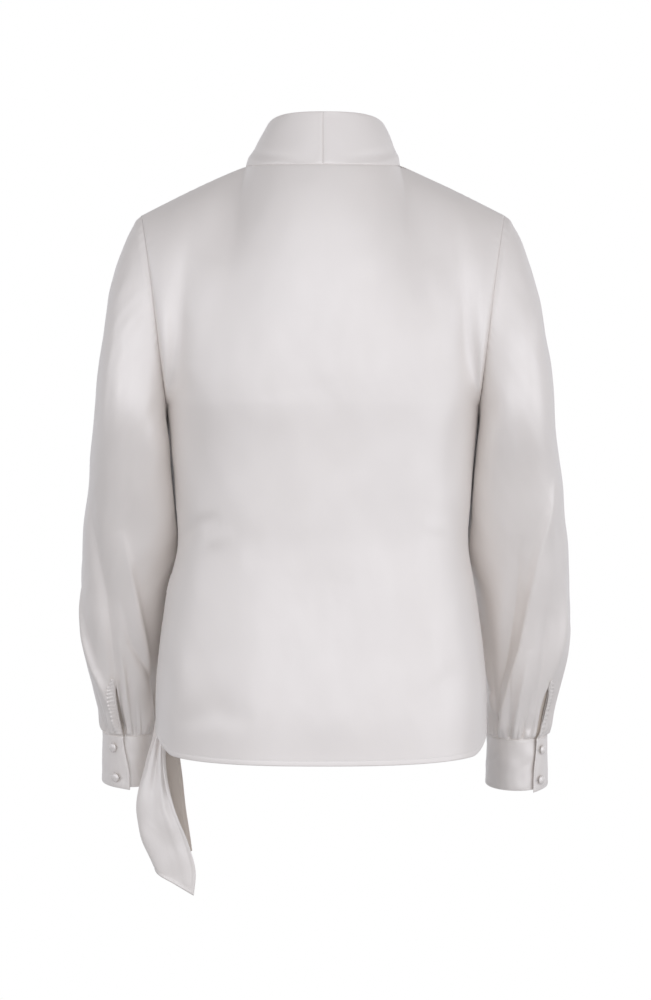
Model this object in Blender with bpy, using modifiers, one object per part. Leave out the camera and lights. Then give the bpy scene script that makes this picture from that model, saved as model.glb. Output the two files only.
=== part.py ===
"""Satin wrap blouse with a high collar, bishop sleeves, two-button cuffs and a side tie.

The blouse is filled out as if worn, with nobody in it. Units are metres and +Z is up.
The wearer faces -Y, so the wearer's left is +X. The origin is the centre of the neck at
the height of the back neck seam, where the neck and shoulders hold the garment up.
"""

from collections import namedtuple
import math

import bpy
import numpy as np
from mathutils import Vector

# Walls and gaps
CLOTH = 0.0012
COLLAR_WALL = 0.0016
CUFF_WALL = 0.0020
SEAM_INSET = 0.00040
TOP_INSET = 0.00095
OVERLAP_LIFT = 0.0026

# Body heights
UNDERARM_Z = -0.250
HEM_BACK_Z = -0.620
HEM_FRONT_Z = -0.615
HEM_SIDE_RISE = 0.014
HEM_CORNER_RISE = 0.018
HEM_CORNER_START = 0.66

# Neck and shoulders
NECK_HALF_WIDTH = 0.080
NECK_Y = -0.008
NECK_BACK_DEPTH = 0.063
NECK_FRONT_DEPTH = 0.064
NECK_POINT_Z = 0.003
NECK_BACK_DROP = 0.003
NECK_FRONT_DROP = 0.063
NECK_SHARE = 0.354
SHOULDER_HALF_WIDTH = 0.192
SHOULDER_TIP_Y = -0.010
SHOULDER_DROP = 0.052
SHOULDER_BOW = 1.12

# How square the body is seen from above, as the power of a superellipse
BACK_SQUARE = 2.5
FRONT_SQUARE = 2.2

# Armhole and the rise of the panels above the underarm
ARMHOLE_START = 0.66
BACK_LIFT = Vector((0.0, 0.004, 0.095))
FRONT_LIFT = Vector((0.0, 0.010, 0.080))
BACK_SCOOP = Vector((-0.002, 0.085, 0.006))
FRONT_SCOOP = Vector((-0.004, -0.090, 0.004))

# Collar: height of its top edge at the back, side and front, and its size there
COLLAR_TOP_Y = -0.013
COLLAR_TOP_DEPTH = 0.052
COLLAR_BACK_Z = 0.0585
COLLAR_SIDE_Z = 0.0400
COLLAR_FRONT_Z = -0.0080
COLLAR_BASE_LIFT = 0.0001
COLLAR_SIDE_LIFT = 0.0007
COLLAR_INSET = 0.00025

CollarHalf = namedtuple("CollarHalf", "name side top_half_width end_angle lap_lift front_lift")
COLLAR_HALVES = [
    CollarHalf("left", 1.0, 0.0590, 210.0, 0.0, 0.0018),
    CollarHalf("right", -1.0, 0.0655, 205.0, 0.0026, 0.0038),
]

# Sleeves and cuffs
BODY_CLEARANCE = 0.0023
WRAP_CLEARANCE = 0.0030
CUFF_TOP_Z = -0.6004
CUFF_HEIGHT = 0.055
CUFF_TILT = 0.12
CUFF_LEAN = 0.06
CUFF_FLARE = 0.02
CUFF_OVERLAP_TURNS = 0.115
CUFF_SPIRAL = 0.0017
GATHERS = 14
GATHER_DEPTH = 0.0023
GATHER_REACH = 0.075
SLIT_RISE = 0.050
CAP_REACH_TIP = 0.205
CAP_REACH_SIDE = 0.30
BUTTON_RADIUS = 0.0050
BUTTON_DOME = 0.0036
BUTTON_SEAT = 0.00025
BUTTON_RISES = (0.0125, 0.0440)

# Side tie
TIE_WAIST_V = 0.44
TIE_WAIST_U = 0.64
KNOT_SIZE = (0.024, 0.021, 0.031)
KNOT_GAP = 0.0004
TIE_TOP_DROP = 0.0010
STRAP_WIDTH = 0.020

Ring = namedtuple("Ring", "height half_width side_y back front")
BODY_RINGS = [
    Ring(-0.640, 0.1765, -0.010, 0.1180, 0.1140),
    Ring(-0.560, 0.1730, -0.010, 0.1130, 0.1120),
    Ring(-0.495, 0.1670, -0.010, 0.1060, 0.1100),
    Ring(-0.445, 0.1602, -0.010, 0.1000, 0.1080),
    Ring(-0.392, 0.1522, -0.010, 0.0960, 0.1080),
    Ring(-0.350, 0.1548, -0.010, 0.0990, 0.1140),
    Ring(-0.300, 0.1590, -0.012, 0.1050, 0.1240),
    Ring(-0.250, 0.1640, -0.012, 0.1080, 0.1280),
]

# How the panels fall away from the neck and shoulder line, from the centre to the tip
Fall = namedtuple("Fall", "share across out drop")
BACK_FALL = [
    Fall(0.000, 0.000, 0.034, -0.046),
    Fall(0.354, 0.003, 0.047, -0.034),
    Fall(0.700, -0.001, 0.058, -0.025),
    Fall(1.000, -0.006, 0.048, -0.026),
]
FRONT_FALL = [
    Fall(0.000, 0.000, 0.036, -0.045),
    Fall(0.354, 0.002, 0.050, -0.036),
    Fall(0.700, -0.004, 0.055, -0.030),
    Fall(1.000, -0.010, 0.042, -0.028),
]

# Free edge of the right front, which crosses over to the wearer's left waist
Edge = namedtuple("Edge", "level share")
WRAP_EDGE = [
    Edge(0.00, 0.66),
    Edge(0.25, 0.69),
    Edge(0.44, 0.69),
    Edge(0.60, 0.61),
    Edge(0.80, 0.47),
    Edge(1.00, 0.35),
    Edge(1.50, 0.21),
    Edge(2.00, 0.098),
]
UNDER_EDGE = -0.118

# Long soft folds of the wrap, which fan out from the tie: direction in degrees from level
Drape = namedtuple("Drape", "direction height spread reach")
WRAP_DRAPES = [
    Drape(8.0, 0.0030, 0.010, 0.17),
    Drape(30.0, 0.0040, 0.012, 0.20),
    Drape(52.0, 0.0030, 0.010, 0.16),
]

Tube = namedtuple("Tube", "height outer inner centre_y half_depth")
SLEEVE_RINGS = [
    Tube(-0.600, 0.2390, 0.1775, -0.109, 0.040),
    Tube(-0.575, 0.2462, 0.1770, -0.106, 0.046),
    Tube(-0.540, 0.2545, 0.1750, -0.100, 0.055),
    Tube(-0.495, 0.2600, 0.1700, -0.090, 0.060),
    Tube(-0.445, 0.2608, 0.1620, -0.076, 0.061),
    Tube(-0.392, 0.2586, 0.1480, -0.058, 0.062),
    Tube(-0.345, 0.2530, 0.1500, -0.042, 0.064),
    Tube(-0.300, 0.2475, 0.1560, -0.026, 0.066),
]

# Long folds of each sleeve above its cuff, angles in degrees from the outer side to the back
Fold = namedtuple("Fold", "cuff_angle top_angle half_angle height reach")
RIGHT_SLEEVE_FOLDS = [
    Fold(128.0, 84.0, 13.0, 0.0075, 0.190),
    Fold(84.0, 60.0, 12.0, 0.0053, 0.120),
    Fold(168.0, 150.0, 15.0, 0.0067, 0.110),
    Fold(232.0, 205.0, 14.0, 0.0060, 0.150),
    Fold(292.0, 262.0, 14.0, 0.0067, 0.170),
    Fold(340.0, 318.0, 13.0, 0.0053, 0.130),
]
LEFT_SLEEVE_FOLDS = [
    Fold(66.0, 46.0, 13.0, 0.0067, 0.185),
    Fold(106.0, 88.0, 11.0, 0.0060, 0.150),
    Fold(146.0, 122.0, 13.0, 0.0067, 0.130),
    Fold(205.0, 190.0, 15.0, 0.0060, 0.120),
    Fold(262.0, 240.0, 14.0, 0.0067, 0.165),
    Fold(322.0, 300.0, 14.0, 0.0053, 0.140),
]

Arm = namedtuple("Arm", "name side spread overlap_angle folds")
ARMS = [
    Arm("left", 1.0, -0.0028, 87.0, LEFT_SLEEVE_FOLDS),
    Arm("right", -1.0, 0.0010, 50.0, RIGHT_SLEEVE_FOLDS),
]

# Long end of the tie, folded lengthwise: where its near edge, fold and far edge hang
TieRow = namedtuple("TieRow", "fall near_x near_y fold_x fold_y far_x far_y")
TIE_END = [
    TieRow(0.00, 0.1430, -0.0775, 0.1530, -0.0810, 0.1440, -0.0860),
    TieRow(0.22, 0.1550, -0.0750, 0.1665, -0.0745, 0.1500, -0.0890),
    TieRow(0.44, 0.1680, -0.0640, 0.1785, -0.0660, 0.1570, -0.0880),
    TieRow(0.60, 0.1655, -0.0540, 0.1895, -0.0600, 0.1542, -0.0820),
    TieRow(0.70, 0.1575, -0.0490, 0.1968, -0.0570, 0.1508, -0.0800),
    TieRow(0.82, 0.1430, -0.0480, 0.1968, -0.0570, 0.1472, -0.0740),
    TieRow(0.92, 0.1355, -0.0490, 0.1880, -0.0570, 0.1430, -0.0700),
    TieRow(1.00, 0.1377, -0.0500, 0.1775, -0.0570, 0.1400, -0.0680),
]
TIE_NEAR_END_Z = -0.7700
TIE_FOLD_END_Z = -0.7440
TIE_FAR_END_Z = -0.7240
SHORT_END_TOP = 0.400
SHORT_END_BOTTOM = 0.095
SHORT_END_SHARE = 0.60
SHORT_END_SWING = 0.09
SHORT_END_WIDTH = 0.13

IVORY = (0.86, 0.84, 0.82, 1.0)
SATIN_ROUGHNESS = 0.38


def through(knots, values, at):
    """Smooth curve through the values at the knots, which rise."""
    knots, values, at = (np.asarray(a, float) for a in (knots, values, at))
    slopes = np.gradient(values, knots)
    i = np.clip(np.searchsorted(knots, at) - 1, 0, len(knots) - 2)
    width = knots[i + 1] - knots[i]
    t = (at - knots[i]) / width
    start = (1 + 2 * t) * (1 - t) ** 2 * values[i] + t * (1 - t) ** 2 * width * slopes[i]
    end = t * t * (3 - 2 * t) * values[i + 1] + t * t * (t - 1) * width * slopes[i + 1]
    return start + end


def column(table, field, at, key):
    """A table's named column, read smoothly at other values of its key column."""
    return through([getattr(row, key) for row in table], [getattr(row, field) for row in table], at)


def even_column(table, field, share):
    """A column by share of the way out from the centre, level where it crosses the centre."""
    knots = [-table[1].share] + [row.share for row in table]
    values = [getattr(table[1], field)] + [getattr(row, field) for row in table]
    return through(knots, values, share)


def ease(low, high, at):
    """0 up to low, 1 from high, and a smooth rise between."""
    t = np.clip((np.asarray(at, float) - low) / (high - low), 0, 1)
    return t * t * (3 - 2 * t)


def power_wave(value, power):
    """A sine or cosine raised to a power, with its sign kept."""
    return np.sign(value) * np.abs(value) ** power


def bezier(p0, p1, p2, p3, t):
    """Point at t on the cubic curve with these four control points."""
    return (1 - t) ** 3 * p0 + 3 * (1 - t) ** 2 * t * p1 + 3 * (1 - t) * t * t * p2 + t**3 * p3


def body_ring(share, height, face):
    """Point on the body's ring at a height: share runs from -1 to 1 across the face."""
    depth = column(BODY_RINGS, "back" if face > 0 else "front", height, "height")
    half = column(BODY_RINGS, "half_width", height, "height")
    power = 2 / (BACK_SQUARE if face > 0 else FRONT_SQUARE)
    angle = share * math.pi / 2
    x = half * power_wave(np.sin(angle), power)
    y = column(BODY_RINGS, "side_y", height, "height") + face * depth * np.abs(np.cos(angle)) ** power
    return np.stack(np.broadcast_arrays(x, y, height), axis=-1)


def neck_seam(angle):
    """Neck seam at an angle from the back's centre (0) round the side to the front's centre."""
    across, along = np.sin(angle), np.cos(angle)
    depth = np.where(along > 0, NECK_BACK_DEPTH, NECK_FRONT_DEPTH)
    drop = np.where(along > 0, NECK_BACK_DROP, NECK_FRONT_DROP)
    height = NECK_POINT_Z - drop * np.abs(along) ** 1.4
    return np.stack([NECK_HALF_WIDTH * across, NECK_Y + depth * along, height], axis=-1)


def top_line(share, face):
    """Top edge of a panel: the neck seam in the middle and a shoulder seam on each side."""
    out = np.abs(share)
    neck_angle = np.clip(out / NECK_SHARE, 0, 1) * math.pi / 2
    neck = neck_seam(neck_angle if face > 0 else math.pi - neck_angle)
    along = np.clip((out - NECK_SHARE) / (1 - NECK_SHARE), 0, 1)
    x = neck[..., 0] + (SHOULDER_HALF_WIDTH - NECK_HALF_WIDTH) * along
    y = neck[..., 1] + (SHOULDER_TIP_Y - NECK_Y) * along
    z = neck[..., 2] - SHOULDER_DROP * along**SHOULDER_BOW
    return np.stack([np.sign(share) * x, y, z], axis=-1)


def hem_height(share, face):
    """Height of the hem, which rises towards the side seams and turns up at the corners."""
    middle = HEM_BACK_Z if face > 0 else HEM_FRONT_Z
    corner = HEM_CORNER_RISE * ease(HEM_CORNER_START, 1, np.abs(share))
    return middle + HEM_SIDE_RISE * share**2 + corner


def body_point(share, level, face):
    """Point of the front (face -1) or back (face 1).

    share runs from the right side seam (-1) to the left (1), and level from the hem (0)
    by the underarm (1) to the neck and shoulder line (2). Below the underarm the body is
    a stack of rings, and above it each column is a curve up to the shoulder line.
    """
    share, level = np.broadcast_arrays(np.asarray(share, float), np.asarray(level, float))
    hem = hem_height(share, face)
    low = np.clip(level, 0, 1)
    lower = body_ring(share, hem + (UNDERARM_Z - hem) * low, face)
    table, lift, scoop = (
        (BACK_FALL, BACK_LIFT, BACK_SCOOP) if face > 0 else (FRONT_FALL, FRONT_LIFT, FRONT_SCOOP)
    )
    armhole = ease(ARMHOLE_START, 1, np.abs(share))[..., None]
    side = np.sign(share)[..., None] * np.array([1.0, 0, 0]) + np.array([0, 1.0, 1.0])
    base = body_ring(share, UNDERARM_Z, face)
    first = base + ((1 - armhole) * np.array(lift) + armhole * np.array(scoop)) * side
    top = top_line(share, face)
    fields = [even_column(table, field, np.abs(share)) for field in ("across", "out", "drop")]
    fall = np.stack([np.sign(share) * fields[0], face * fields[1], fields[2]], axis=-1)
    upper = bezier(base, first, top + fall, top, np.clip(level - 1, 0, 1)[..., None])
    return np.where((level <= 1)[..., None], lower, upper)


def outward(function, first, second, step=0.01):
    """Unit normals of a two-parameter surface, from its slopes."""
    along = function(first + step, second) - function(first - step, second)
    up = function(first, second + step) - function(first, second - step)
    normal = np.cross(along, up)
    return normal / np.maximum(np.linalg.norm(normal, axis=-1, keepdims=True), 1e-9)


def front_point(share, level, lift):
    """Point of the front moved out from the body by lift."""
    def surface(s, v):
        return body_point(np.clip(s, -1, 1), np.clip(v, 0, 2), -1)

    inner_share = np.clip(share, -0.985, 0.985)
    inner_level = np.clip(level, 0.015, 1.985)
    normal = -outward(surface, inner_share, inner_level)
    normal *= np.sign(-normal[..., 1:2] + 1e-9)
    return surface(share, level) + normal * np.asarray(lift)[..., None]


def drape_lift(points, anchor):
    """Height of the soft folds that fan out from the tie over the wrapped front."""
    across, up = anchor[0] - points[..., 0], points[..., 2] - anchor[2]
    total = np.zeros(points.shape[:-1])
    for drape in WRAP_DRAPES:
        angle = math.radians(drape.direction)
        along = across * math.cos(angle) + up * math.sin(angle)
        aside = up * math.cos(angle) - across * math.sin(angle)
        width = drape.spread * (1 + 2 * np.clip(along / drape.reach, 0, 1))
        share = np.clip(along / drape.reach, 0, 1)
        total += drape.height * np.exp(-((aside / width) ** 2)) * np.sin(math.pi * share**0.7)
    return total


def inset(points, row_start=0, row_end=0, column_start=0, column_end=0):
    """Pulls a grid's outer rows and columns in along the surface, to leave the seam gaps."""
    def pull(edge, neighbour, distance):
        step = neighbour - edge
        return edge + step * distance / np.linalg.norm(step, axis=-1, keepdims=True)

    grid = points.copy()
    grid[0] = pull(grid[0], points[1], row_start)
    grid[-1] = pull(grid[-1], points[-2], row_end)
    moved = grid.copy()
    moved[:, 0] = pull(grid[:, 0], grid[:, 1], column_start)
    moved[:, -1] = pull(grid[:, -1], grid[:, -2], column_end)
    return moved


def satin(name, colour):
    """A woven satin finish."""
    material = bpy.data.materials.new(name)
    material.use_nodes = True
    shader = material.node_tree.nodes["Principled BSDF"]
    shader.inputs["Base Color"].default_value = colour
    shader.inputs["Roughness"].default_value = SATIN_ROUGHNESS
    shader.inputs["Metallic"].default_value = 0.0
    return material


def add_object(name, mesh, parts):
    """Puts a mesh in the blouse's collection with its own material."""
    mesh.materials.append(satin(name + "_satin", IVORY))
    obj = bpy.data.objects.new(name, mesh)
    parts.objects.link(obj)
    return obj


def wall(obj, thickness):
    """Gives an open sheet its thickness, half to each side."""
    solid = obj.modifiers.new("wall", "SOLIDIFY")
    solid.thickness = thickness
    solid.offset = 0.0
    solid.use_rim = True
    return obj


def strip_faces(lower, upper, lower_count, upper_count, closed, skip=()):
    """Faces between two rows of points, where the second has as many as the first or half."""
    faces = []
    halves = lower_count // upper_count
    last = upper_count if closed else upper_count - 1
    for i in range(last):
        j, k = i, (i + 1) % upper_count
        if halves == 1:
            if i not in skip:
                faces.append((lower + j, lower + k, upper + k, upper + j))
            continue
        a, b, c = 2 * i, 2 * i + 1, (2 * i + 2) % lower_count
        faces.append((lower + a, lower + b, upper + j))
        faces.append((lower + b, upper + k, upper + j))
        faces.append((lower + b, lower + c, upper + k))
    return faces


def sheet(name, rows, thickness, parts, closed=False, slit=None):
    """A cloth wall through rows of points. slit is (column, number of rows) left open."""
    points, starts, faces = [], [], []
    for row in rows:
        starts.append(len(points))
        points.extend(tuple(p) for p in row)
    for i in range(len(rows) - 1):
        skip = (slit[0],) if slit and i < slit[1] else ()
        faces += strip_faces(starts[i], starts[i + 1], len(rows[i]), len(rows[i + 1]), closed, skip)
    mesh = bpy.data.meshes.new(name)
    mesh.from_pydata(points, [], faces)
    mesh.update()
    mesh.shade_smooth()
    return wall(add_object(name, mesh, parts), thickness)


def make_back(parts):
    """The back panel, from side seam to side seam."""
    shares = np.linspace(-1, 1, 23)
    levels = np.concatenate([np.linspace(0, 1, 8), np.linspace(1, 2, 8)[1:]])
    grid = body_point(shares[None, :], levels[:, None], 1)
    grid = inset(grid, 0, TOP_INSET, SEAM_INSET, SEAM_INSET)
    sheet("back", grid, CLOTH, parts)


def wrap_edge(level):
    """Share at which the right front ends, at each level."""
    return column(WRAP_EDGE, "share", level, "level")


def waist_anchor():
    """Where the wrap is drawn in by the tie."""
    return body_point(TIE_WAIST_U, TIE_WAIST_V, -1)


def make_fronts(parts):
    """The left front, which lies under, and the right front, which wraps over it."""
    levels = np.concatenate([np.linspace(0, 1, 9), np.linspace(1, 2, 8)[1:]])
    under = np.linspace(UNDER_EDGE, 1, 13)[None, :]
    grid = body_point(under, levels[:, None], -1)
    sheet("front_left", inset(grid, 0, TOP_INSET, 0, SEAM_INSET), CLOTH, parts)

    across = np.linspace(0, 1, 20)[None, :]
    share = -1 + across * (wrap_edge(levels)[:, None] + 1)
    level = np.broadcast_to(levels[:, None], share.shape)
    lift = OVERLAP_LIFT * ease(-0.55, -0.2, share)
    flat = front_point(share, level, lift)
    lift = lift + drape_lift(flat, waist_anchor()) * ease(-0.9, -0.5, share) * ease(2.0, 1.7, level)
    grid = front_point(share, level, lift)
    sheet("front_right", inset(grid, 0, TOP_INSET, SEAM_INSET, 0), CLOTH, parts)


def collar_point(half, angle, rise, lift):
    """Point of a collar half: angle from the back's centre, rise from its seam (0) to its top (1)."""
    base = neck_seam(angle)
    front = ease(math.radians(60), math.radians(120), angle)
    base[..., 2] += COLLAR_BASE_LIFT + COLLAR_SIDE_LIFT * np.sin(angle) ** 2 + half.front_lift * front
    middle = (COLLAR_BACK_Z - COLLAR_FRONT_Z) / 2
    bend = (COLLAR_BACK_Z + COLLAR_FRONT_Z) / 2 - COLLAR_SIDE_Z
    along = np.cos(angle)
    top = np.stack(
        [
            half.top_half_width * np.sin(angle),
            COLLAR_TOP_Y + COLLAR_TOP_DEPTH * along,
            COLLAR_SIDE_Z + middle * along + bend * along**2,
        ],
        axis=-1,
    )
    outwards = np.stack([np.sin(angle), along, np.zeros_like(angle)], axis=-1)
    grid = base + (top - base) * rise[..., None] + outwards * np.asarray(lift)[..., None]
    return grid * np.array([half.side, 1, 1])


def make_collar(parts):
    """The collar's two halves, joined at the back's centre and lapped right over left."""
    for half in COLLAR_HALVES:
        angle, rise = np.meshgrid(np.radians(np.linspace(0, half.end_angle, 19)), np.linspace(0, 1, 5))
        lift = half.lap_lift * ease(math.radians(100), math.radians(145), angle)
        grid = collar_point(half, angle, rise, lift)
        sheet("collar_" + half.name, inset(grid, 0, 0, COLLAR_INSET, 0), COLLAR_WALL, parts)


def turn_angle(turn):
    """Angle round the sleeve for a share of a turn, with the gathers unevenly spaced."""
    return 2 * math.pi * (
        turn + 0.010 * np.sin(2 * math.pi * 3 * turn + 1.3) + 0.006 * np.sin(2 * math.pi * 5 * turn)
    )


def body_side(y, height):
    """How far out the body reaches at this y and height."""
    half = column(BODY_RINGS, "half_width", height, "height")
    aside = y - column(BODY_RINGS, "side_y", height, "height")
    depth = np.where(
        aside > 0,
        column(BODY_RINGS, "back", height, "height"),
        column(BODY_RINGS, "front", height, "height"),
    )
    power = np.where(aside > 0, BACK_SQUARE, FRONT_SQUARE)
    return half * np.clip(1 - np.clip(np.abs(aside) / depth, 0, 1) ** power, 0, 1) ** (1 / power)


def sleeve_ring(angle, height, arm):
    """Ring of the sleeve, which rests along the body: angle 0 is outside, a quarter turn the back."""
    outer = column(SLEEVE_RINGS, "outer", height, "height") + arm.spread
    inner = column(SLEEVE_RINGS, "inner", height, "height")
    depth = column(SLEEVE_RINGS, "half_depth", height, "height")
    middle = column(SLEEVE_RINGS, "centre_y", height, "height")
    tilt = CUFF_TILT * ease(-0.45, -0.60, height)
    x = (outer + inner) / 2 + (outer - inner) / 2 * np.cos(angle)
    y = middle + depth * np.sin(angle)
    clear = BODY_CLEARANCE + WRAP_CLEARANCE * ease(-0.025, -0.050, y)
    x = np.maximum(x, body_side(y, height) + clear)
    z = height - tilt * depth * np.sin(angle)
    return np.stack(np.broadcast_arrays(x, y, z), axis=-1)


def armhole_point(turn):
    """Armhole seam: from the shoulder tip (0) down the back, and from the underarm (0.5) up."""
    turn = np.mod(turn, 1.0)
    back = body_point(1.0, 2 - 2 * np.clip(turn, 0, 0.5), 1)
    front = body_point(1.0, 1 + 2 * np.clip(turn - 0.5, 0, 0.5), -1)
    return np.where((turn <= 0.5)[..., None], back, front)


def sleeve_cap(turn, level, arm):
    """Sleeve from the armhole (level 0) to its first full ring (level 1)."""
    angle = turn_angle(turn)
    seam = armhole_point(turn)
    low = (1 - np.cos(2 * math.pi * turn)) / 2
    seam = seam + np.stack([0.0009 + 0.0018 * low, 0 * low, 0.0004 - 0.0010 * low], axis=-1)
    height = SLEEVE_RINGS[-1].height
    ring = sleeve_ring(angle, height, arm)
    slope = (ring - sleeve_ring(angle, height - 0.002, arm)) / 0.002
    drop = (seam[..., 2] - ring[..., 2])[..., None]
    aside = np.abs(np.sin(2 * math.pi * turn))
    direction = np.stack(
        [0.74 + 0.14 * aside - 0.62 * low, 0.25 * np.sin(angle), -0.72 + 0.14 * aside - 0.24 * low],
        axis=-1,
    )
    direction /= np.linalg.norm(direction, axis=-1, keepdims=True)
    reach = CAP_REACH_TIP + (CAP_REACH_SIDE - CAP_REACH_TIP) * np.maximum(aside, low)
    first = seam + direction * drop * reach[..., None]
    last = ring + slope * 0.36 * drop
    return bezier(seam, first, last, ring, level[..., None])


def fold_height(angle, rise, folds):
    """Height of a sleeve's long folds at an angle, and at a rise above the cuff."""
    total = np.zeros(np.broadcast(angle, rise).shape)
    for fold in folds:
        share = np.clip(rise / fold.reach, 0, 1)
        centre = np.radians(fold.cuff_angle + (fold.top_angle - fold.cuff_angle) * share)
        apart = np.mod(angle - centre + math.pi, 2 * math.pi) - math.pi
        bell = np.exp(-((apart / math.radians(fold.half_angle)) ** 2))
        total += fold.height * bell * np.sin(math.pi * share**0.6)
    return total


def sleeve_tube(turn, height, arm):
    """Sleeve below its first full ring, with the folds and the gathers into the cuff."""
    angle = turn_angle(turn)
    ring = sleeve_ring(angle, height, arm)
    rise = height - CUFF_TOP_Z
    fade = np.clip(1 - rise / GATHER_REACH, 0, 1) ** 1.3
    crimp = GATHER_DEPTH * fade * np.cos(2 * math.pi * GATHERS * turn)
    lift = fold_height(angle, rise, arm.folds) + crimp
    out = np.stack(np.broadcast_arrays(np.cos(angle), np.sin(angle), 0 * lift), axis=-1)
    return ring + out * lift[..., None]


def slit_turn(arm):
    """Share of a turn at which the sleeve's slit lies, over the cuff's lapped edge."""
    return arm.overlap_angle / 360


def make_sleeve(arm, parts):
    """A full-length sleeve, open along its slit, gathered into the cuff."""
    fine, coarse = 4 * GATHERS, 2 * GATHERS
    rises = np.array([0.0006, 0.012, 0.028, 0.050, 0.080, 0.120, 0.165, 0.215])
    slit_rows = int(np.sum(rises < SLIT_RISE))
    rows = []
    turns = np.arange(fine) / fine
    for rise in rises:
        rows.append(sleeve_tube(turns, CUFF_TOP_Z + rise + 0 * turns, arm))
    turns = np.arange(coarse) / coarse
    rows.append(sleeve_tube(turns, SLEEVE_RINGS[-1].height + 0 * turns, arm))
    for level in (0.84, 0.66, 0.48, 0.30, 0.14, 0.0):
        rows.append(sleeve_cap(turns, level + 0 * turns, arm))
    side = np.array([arm.side, 1, 1])
    slit = (round(slit_turn(arm) * fine) % fine, slit_rows)
    sheet("sleeve_" + arm.name, [row * side for row in rows], CLOTH, parts, True, slit)


def make_placket(arm, parts):
    """The bound strip along the slit's outer edge, laid on the sleeve."""
    step = 1 / (4 * GATHERS)
    edge = round(slit_turn(arm) / step) * step
    rises = np.array([0.0016, 0.012, 0.028, 0.050, 0.060])
    turns = edge - step * np.array([1.75, 0.95, 0.12])
    turn, rise = np.meshgrid(turns, rises)
    grid = sleeve_tube(turn, CUFF_TOP_Z + rise, arm)

    def surface(first, second):
        return sleeve_tube(first, second, arm)

    normal = outward(surface, turn, CUFF_TOP_Z + rise, 0.004)
    normal *= np.sign(np.sum(normal * np.stack(
        [np.cos(turn_angle(turn)), np.sin(turn_angle(turn)), 0 * turn], axis=-1
    ), axis=-1, keepdims=True))
    grid = (grid + normal * (CLOTH + 0.0012)) * np.array([arm.side, 1, 1])
    sheet("placket_" + arm.name, grid, CLOTH, parts)


def cuff_point(turn, drop, arm, lift=0.0):
    """Point of the cuff band: turn 0 is its lapped outer edge, and drop runs down from its top."""
    total = 1 + CUFF_OVERLAP_TURNS
    angle = math.radians(arm.overlap_angle) - 2 * math.pi * turn
    ring = SLEEVE_RINGS[0]
    out = CUFF_SPIRAL * (1 - 2 * ease(0.10, total - 0.14, turn)) + lift
    outer = ring.outer + arm.spread
    wide = (outer - ring.inner) / 2 + out + CUFF_FLARE * drop
    deep = ring.half_depth + out + CUFF_FLARE * drop
    x = (outer + ring.inner) / 2 + wide * np.cos(angle)
    y = ring.centre_y - CUFF_LEAN * drop + deep * np.sin(angle)
    z = CUFF_TOP_Z - CUFF_WALL * 0.3 - drop - CUFF_TILT * deep * np.sin(angle)
    return np.stack(np.broadcast_arrays(x, y, z), axis=-1) * np.array([arm.side, 1, 1])


def make_cuff(arm, parts):
    """The buttoned cuff, one band whose ends overlap."""
    turn, drop = np.meshgrid(np.linspace(0, 1 + CUFF_OVERLAP_TURNS, 33), np.linspace(0, CUFF_HEIGHT, 4))
    sheet("cuff_" + arm.name, cuff_point(turn, drop, arm), CUFF_WALL, parts)


def make_buttons(arm, parts):
    """The two satin-covered buttons that stand on the lapped end of the cuff."""
    turn = CUFF_OVERLAP_TURNS * 0.42
    for number, drop in enumerate(BUTTON_RISES, 1):
        def surface(first, second):
            return cuff_point(first, second, arm)

        place = surface(np.array(turn), np.array(drop))
        normal = outward(surface, np.array(turn), np.array(drop), 0.003)
        centre = np.array([arm.side * (SLEEVE_RINGS[0].outer + SLEEVE_RINGS[0].inner) / 2, 0, 0])
        centre[1:] = place[1], place[2]
        facing = Vector(normal if np.dot(normal, place - centre) > 0 or normal[1] > 0 else -normal)
        seat = Vector(place) + facing * (CUFF_WALL / 2 + BUTTON_SEAT)
        profile = [(0.0, BUTTON_DOME)]
        for degrees in (30, 60, 85):
            angle = math.radians(degrees)
            profile.append((BUTTON_RADIUS * math.sin(angle), BUTTON_DOME * (0.35 + 0.65 * math.cos(angle))))
        profile += [(BUTTON_RADIUS * 0.86, 0.0), (0.0, 0.0)]
        mesh = bpy.data.meshes.new("button")
        edges = [(i, i + 1) for i in range(len(profile) - 1)]
        mesh.from_pydata([(x, 0, z) for x, z in profile], edges, [])
        button = add_object(f"button_{arm.name}_{number}", mesh, parts)
        spin = button.modifiers.new("turned", "SCREW")
        spin.steps = spin.render_steps = 14
        spin.use_merge_vertices = True
        spin.merge_threshold = 0.0001
        button.location = seat
        button.rotation_euler = facing.to_track_quat("Z", "Y").to_euler()


def knot_place():
    """Centre of the tie's knot, standing on the wrapped front at the left waist."""
    share, level = np.array(TIE_WAIST_U), np.array(TIE_WAIST_V)
    return front_point(share, level, np.array(OVERLAP_LIFT + CLOTH / 2 + KNOT_SIZE[1] / 2 + KNOT_GAP))


def make_knot(parts):
    """The tie's knot, a small rounded pillow of cloth."""
    bpy.ops.mesh.primitive_cube_add(size=1)
    knot = bpy.context.object
    knot.name = knot.data.name = "tie_knot"
    for collection in list(knot.users_collection):
        collection.objects.unlink(knot)
    parts.objects.link(knot)
    knot.data.materials.append(satin("tie_knot_satin", IVORY))
    for vertex in knot.data.vertices:
        taper = 1.0 if vertex.co.z > 0 else 0.80
        for axis in range(3):
            vertex.co[axis] *= KNOT_SIZE[axis] * 1.28 * (taper if axis < 2 else 1.0)
    knot.location = Vector(knot_place())
    knot.rotation_euler = (0.0, math.radians(-8), math.radians(30))
    round_off = knot.modifiers.new("round", "SUBSURF")
    round_off.levels = round_off.render_levels = 2


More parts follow.
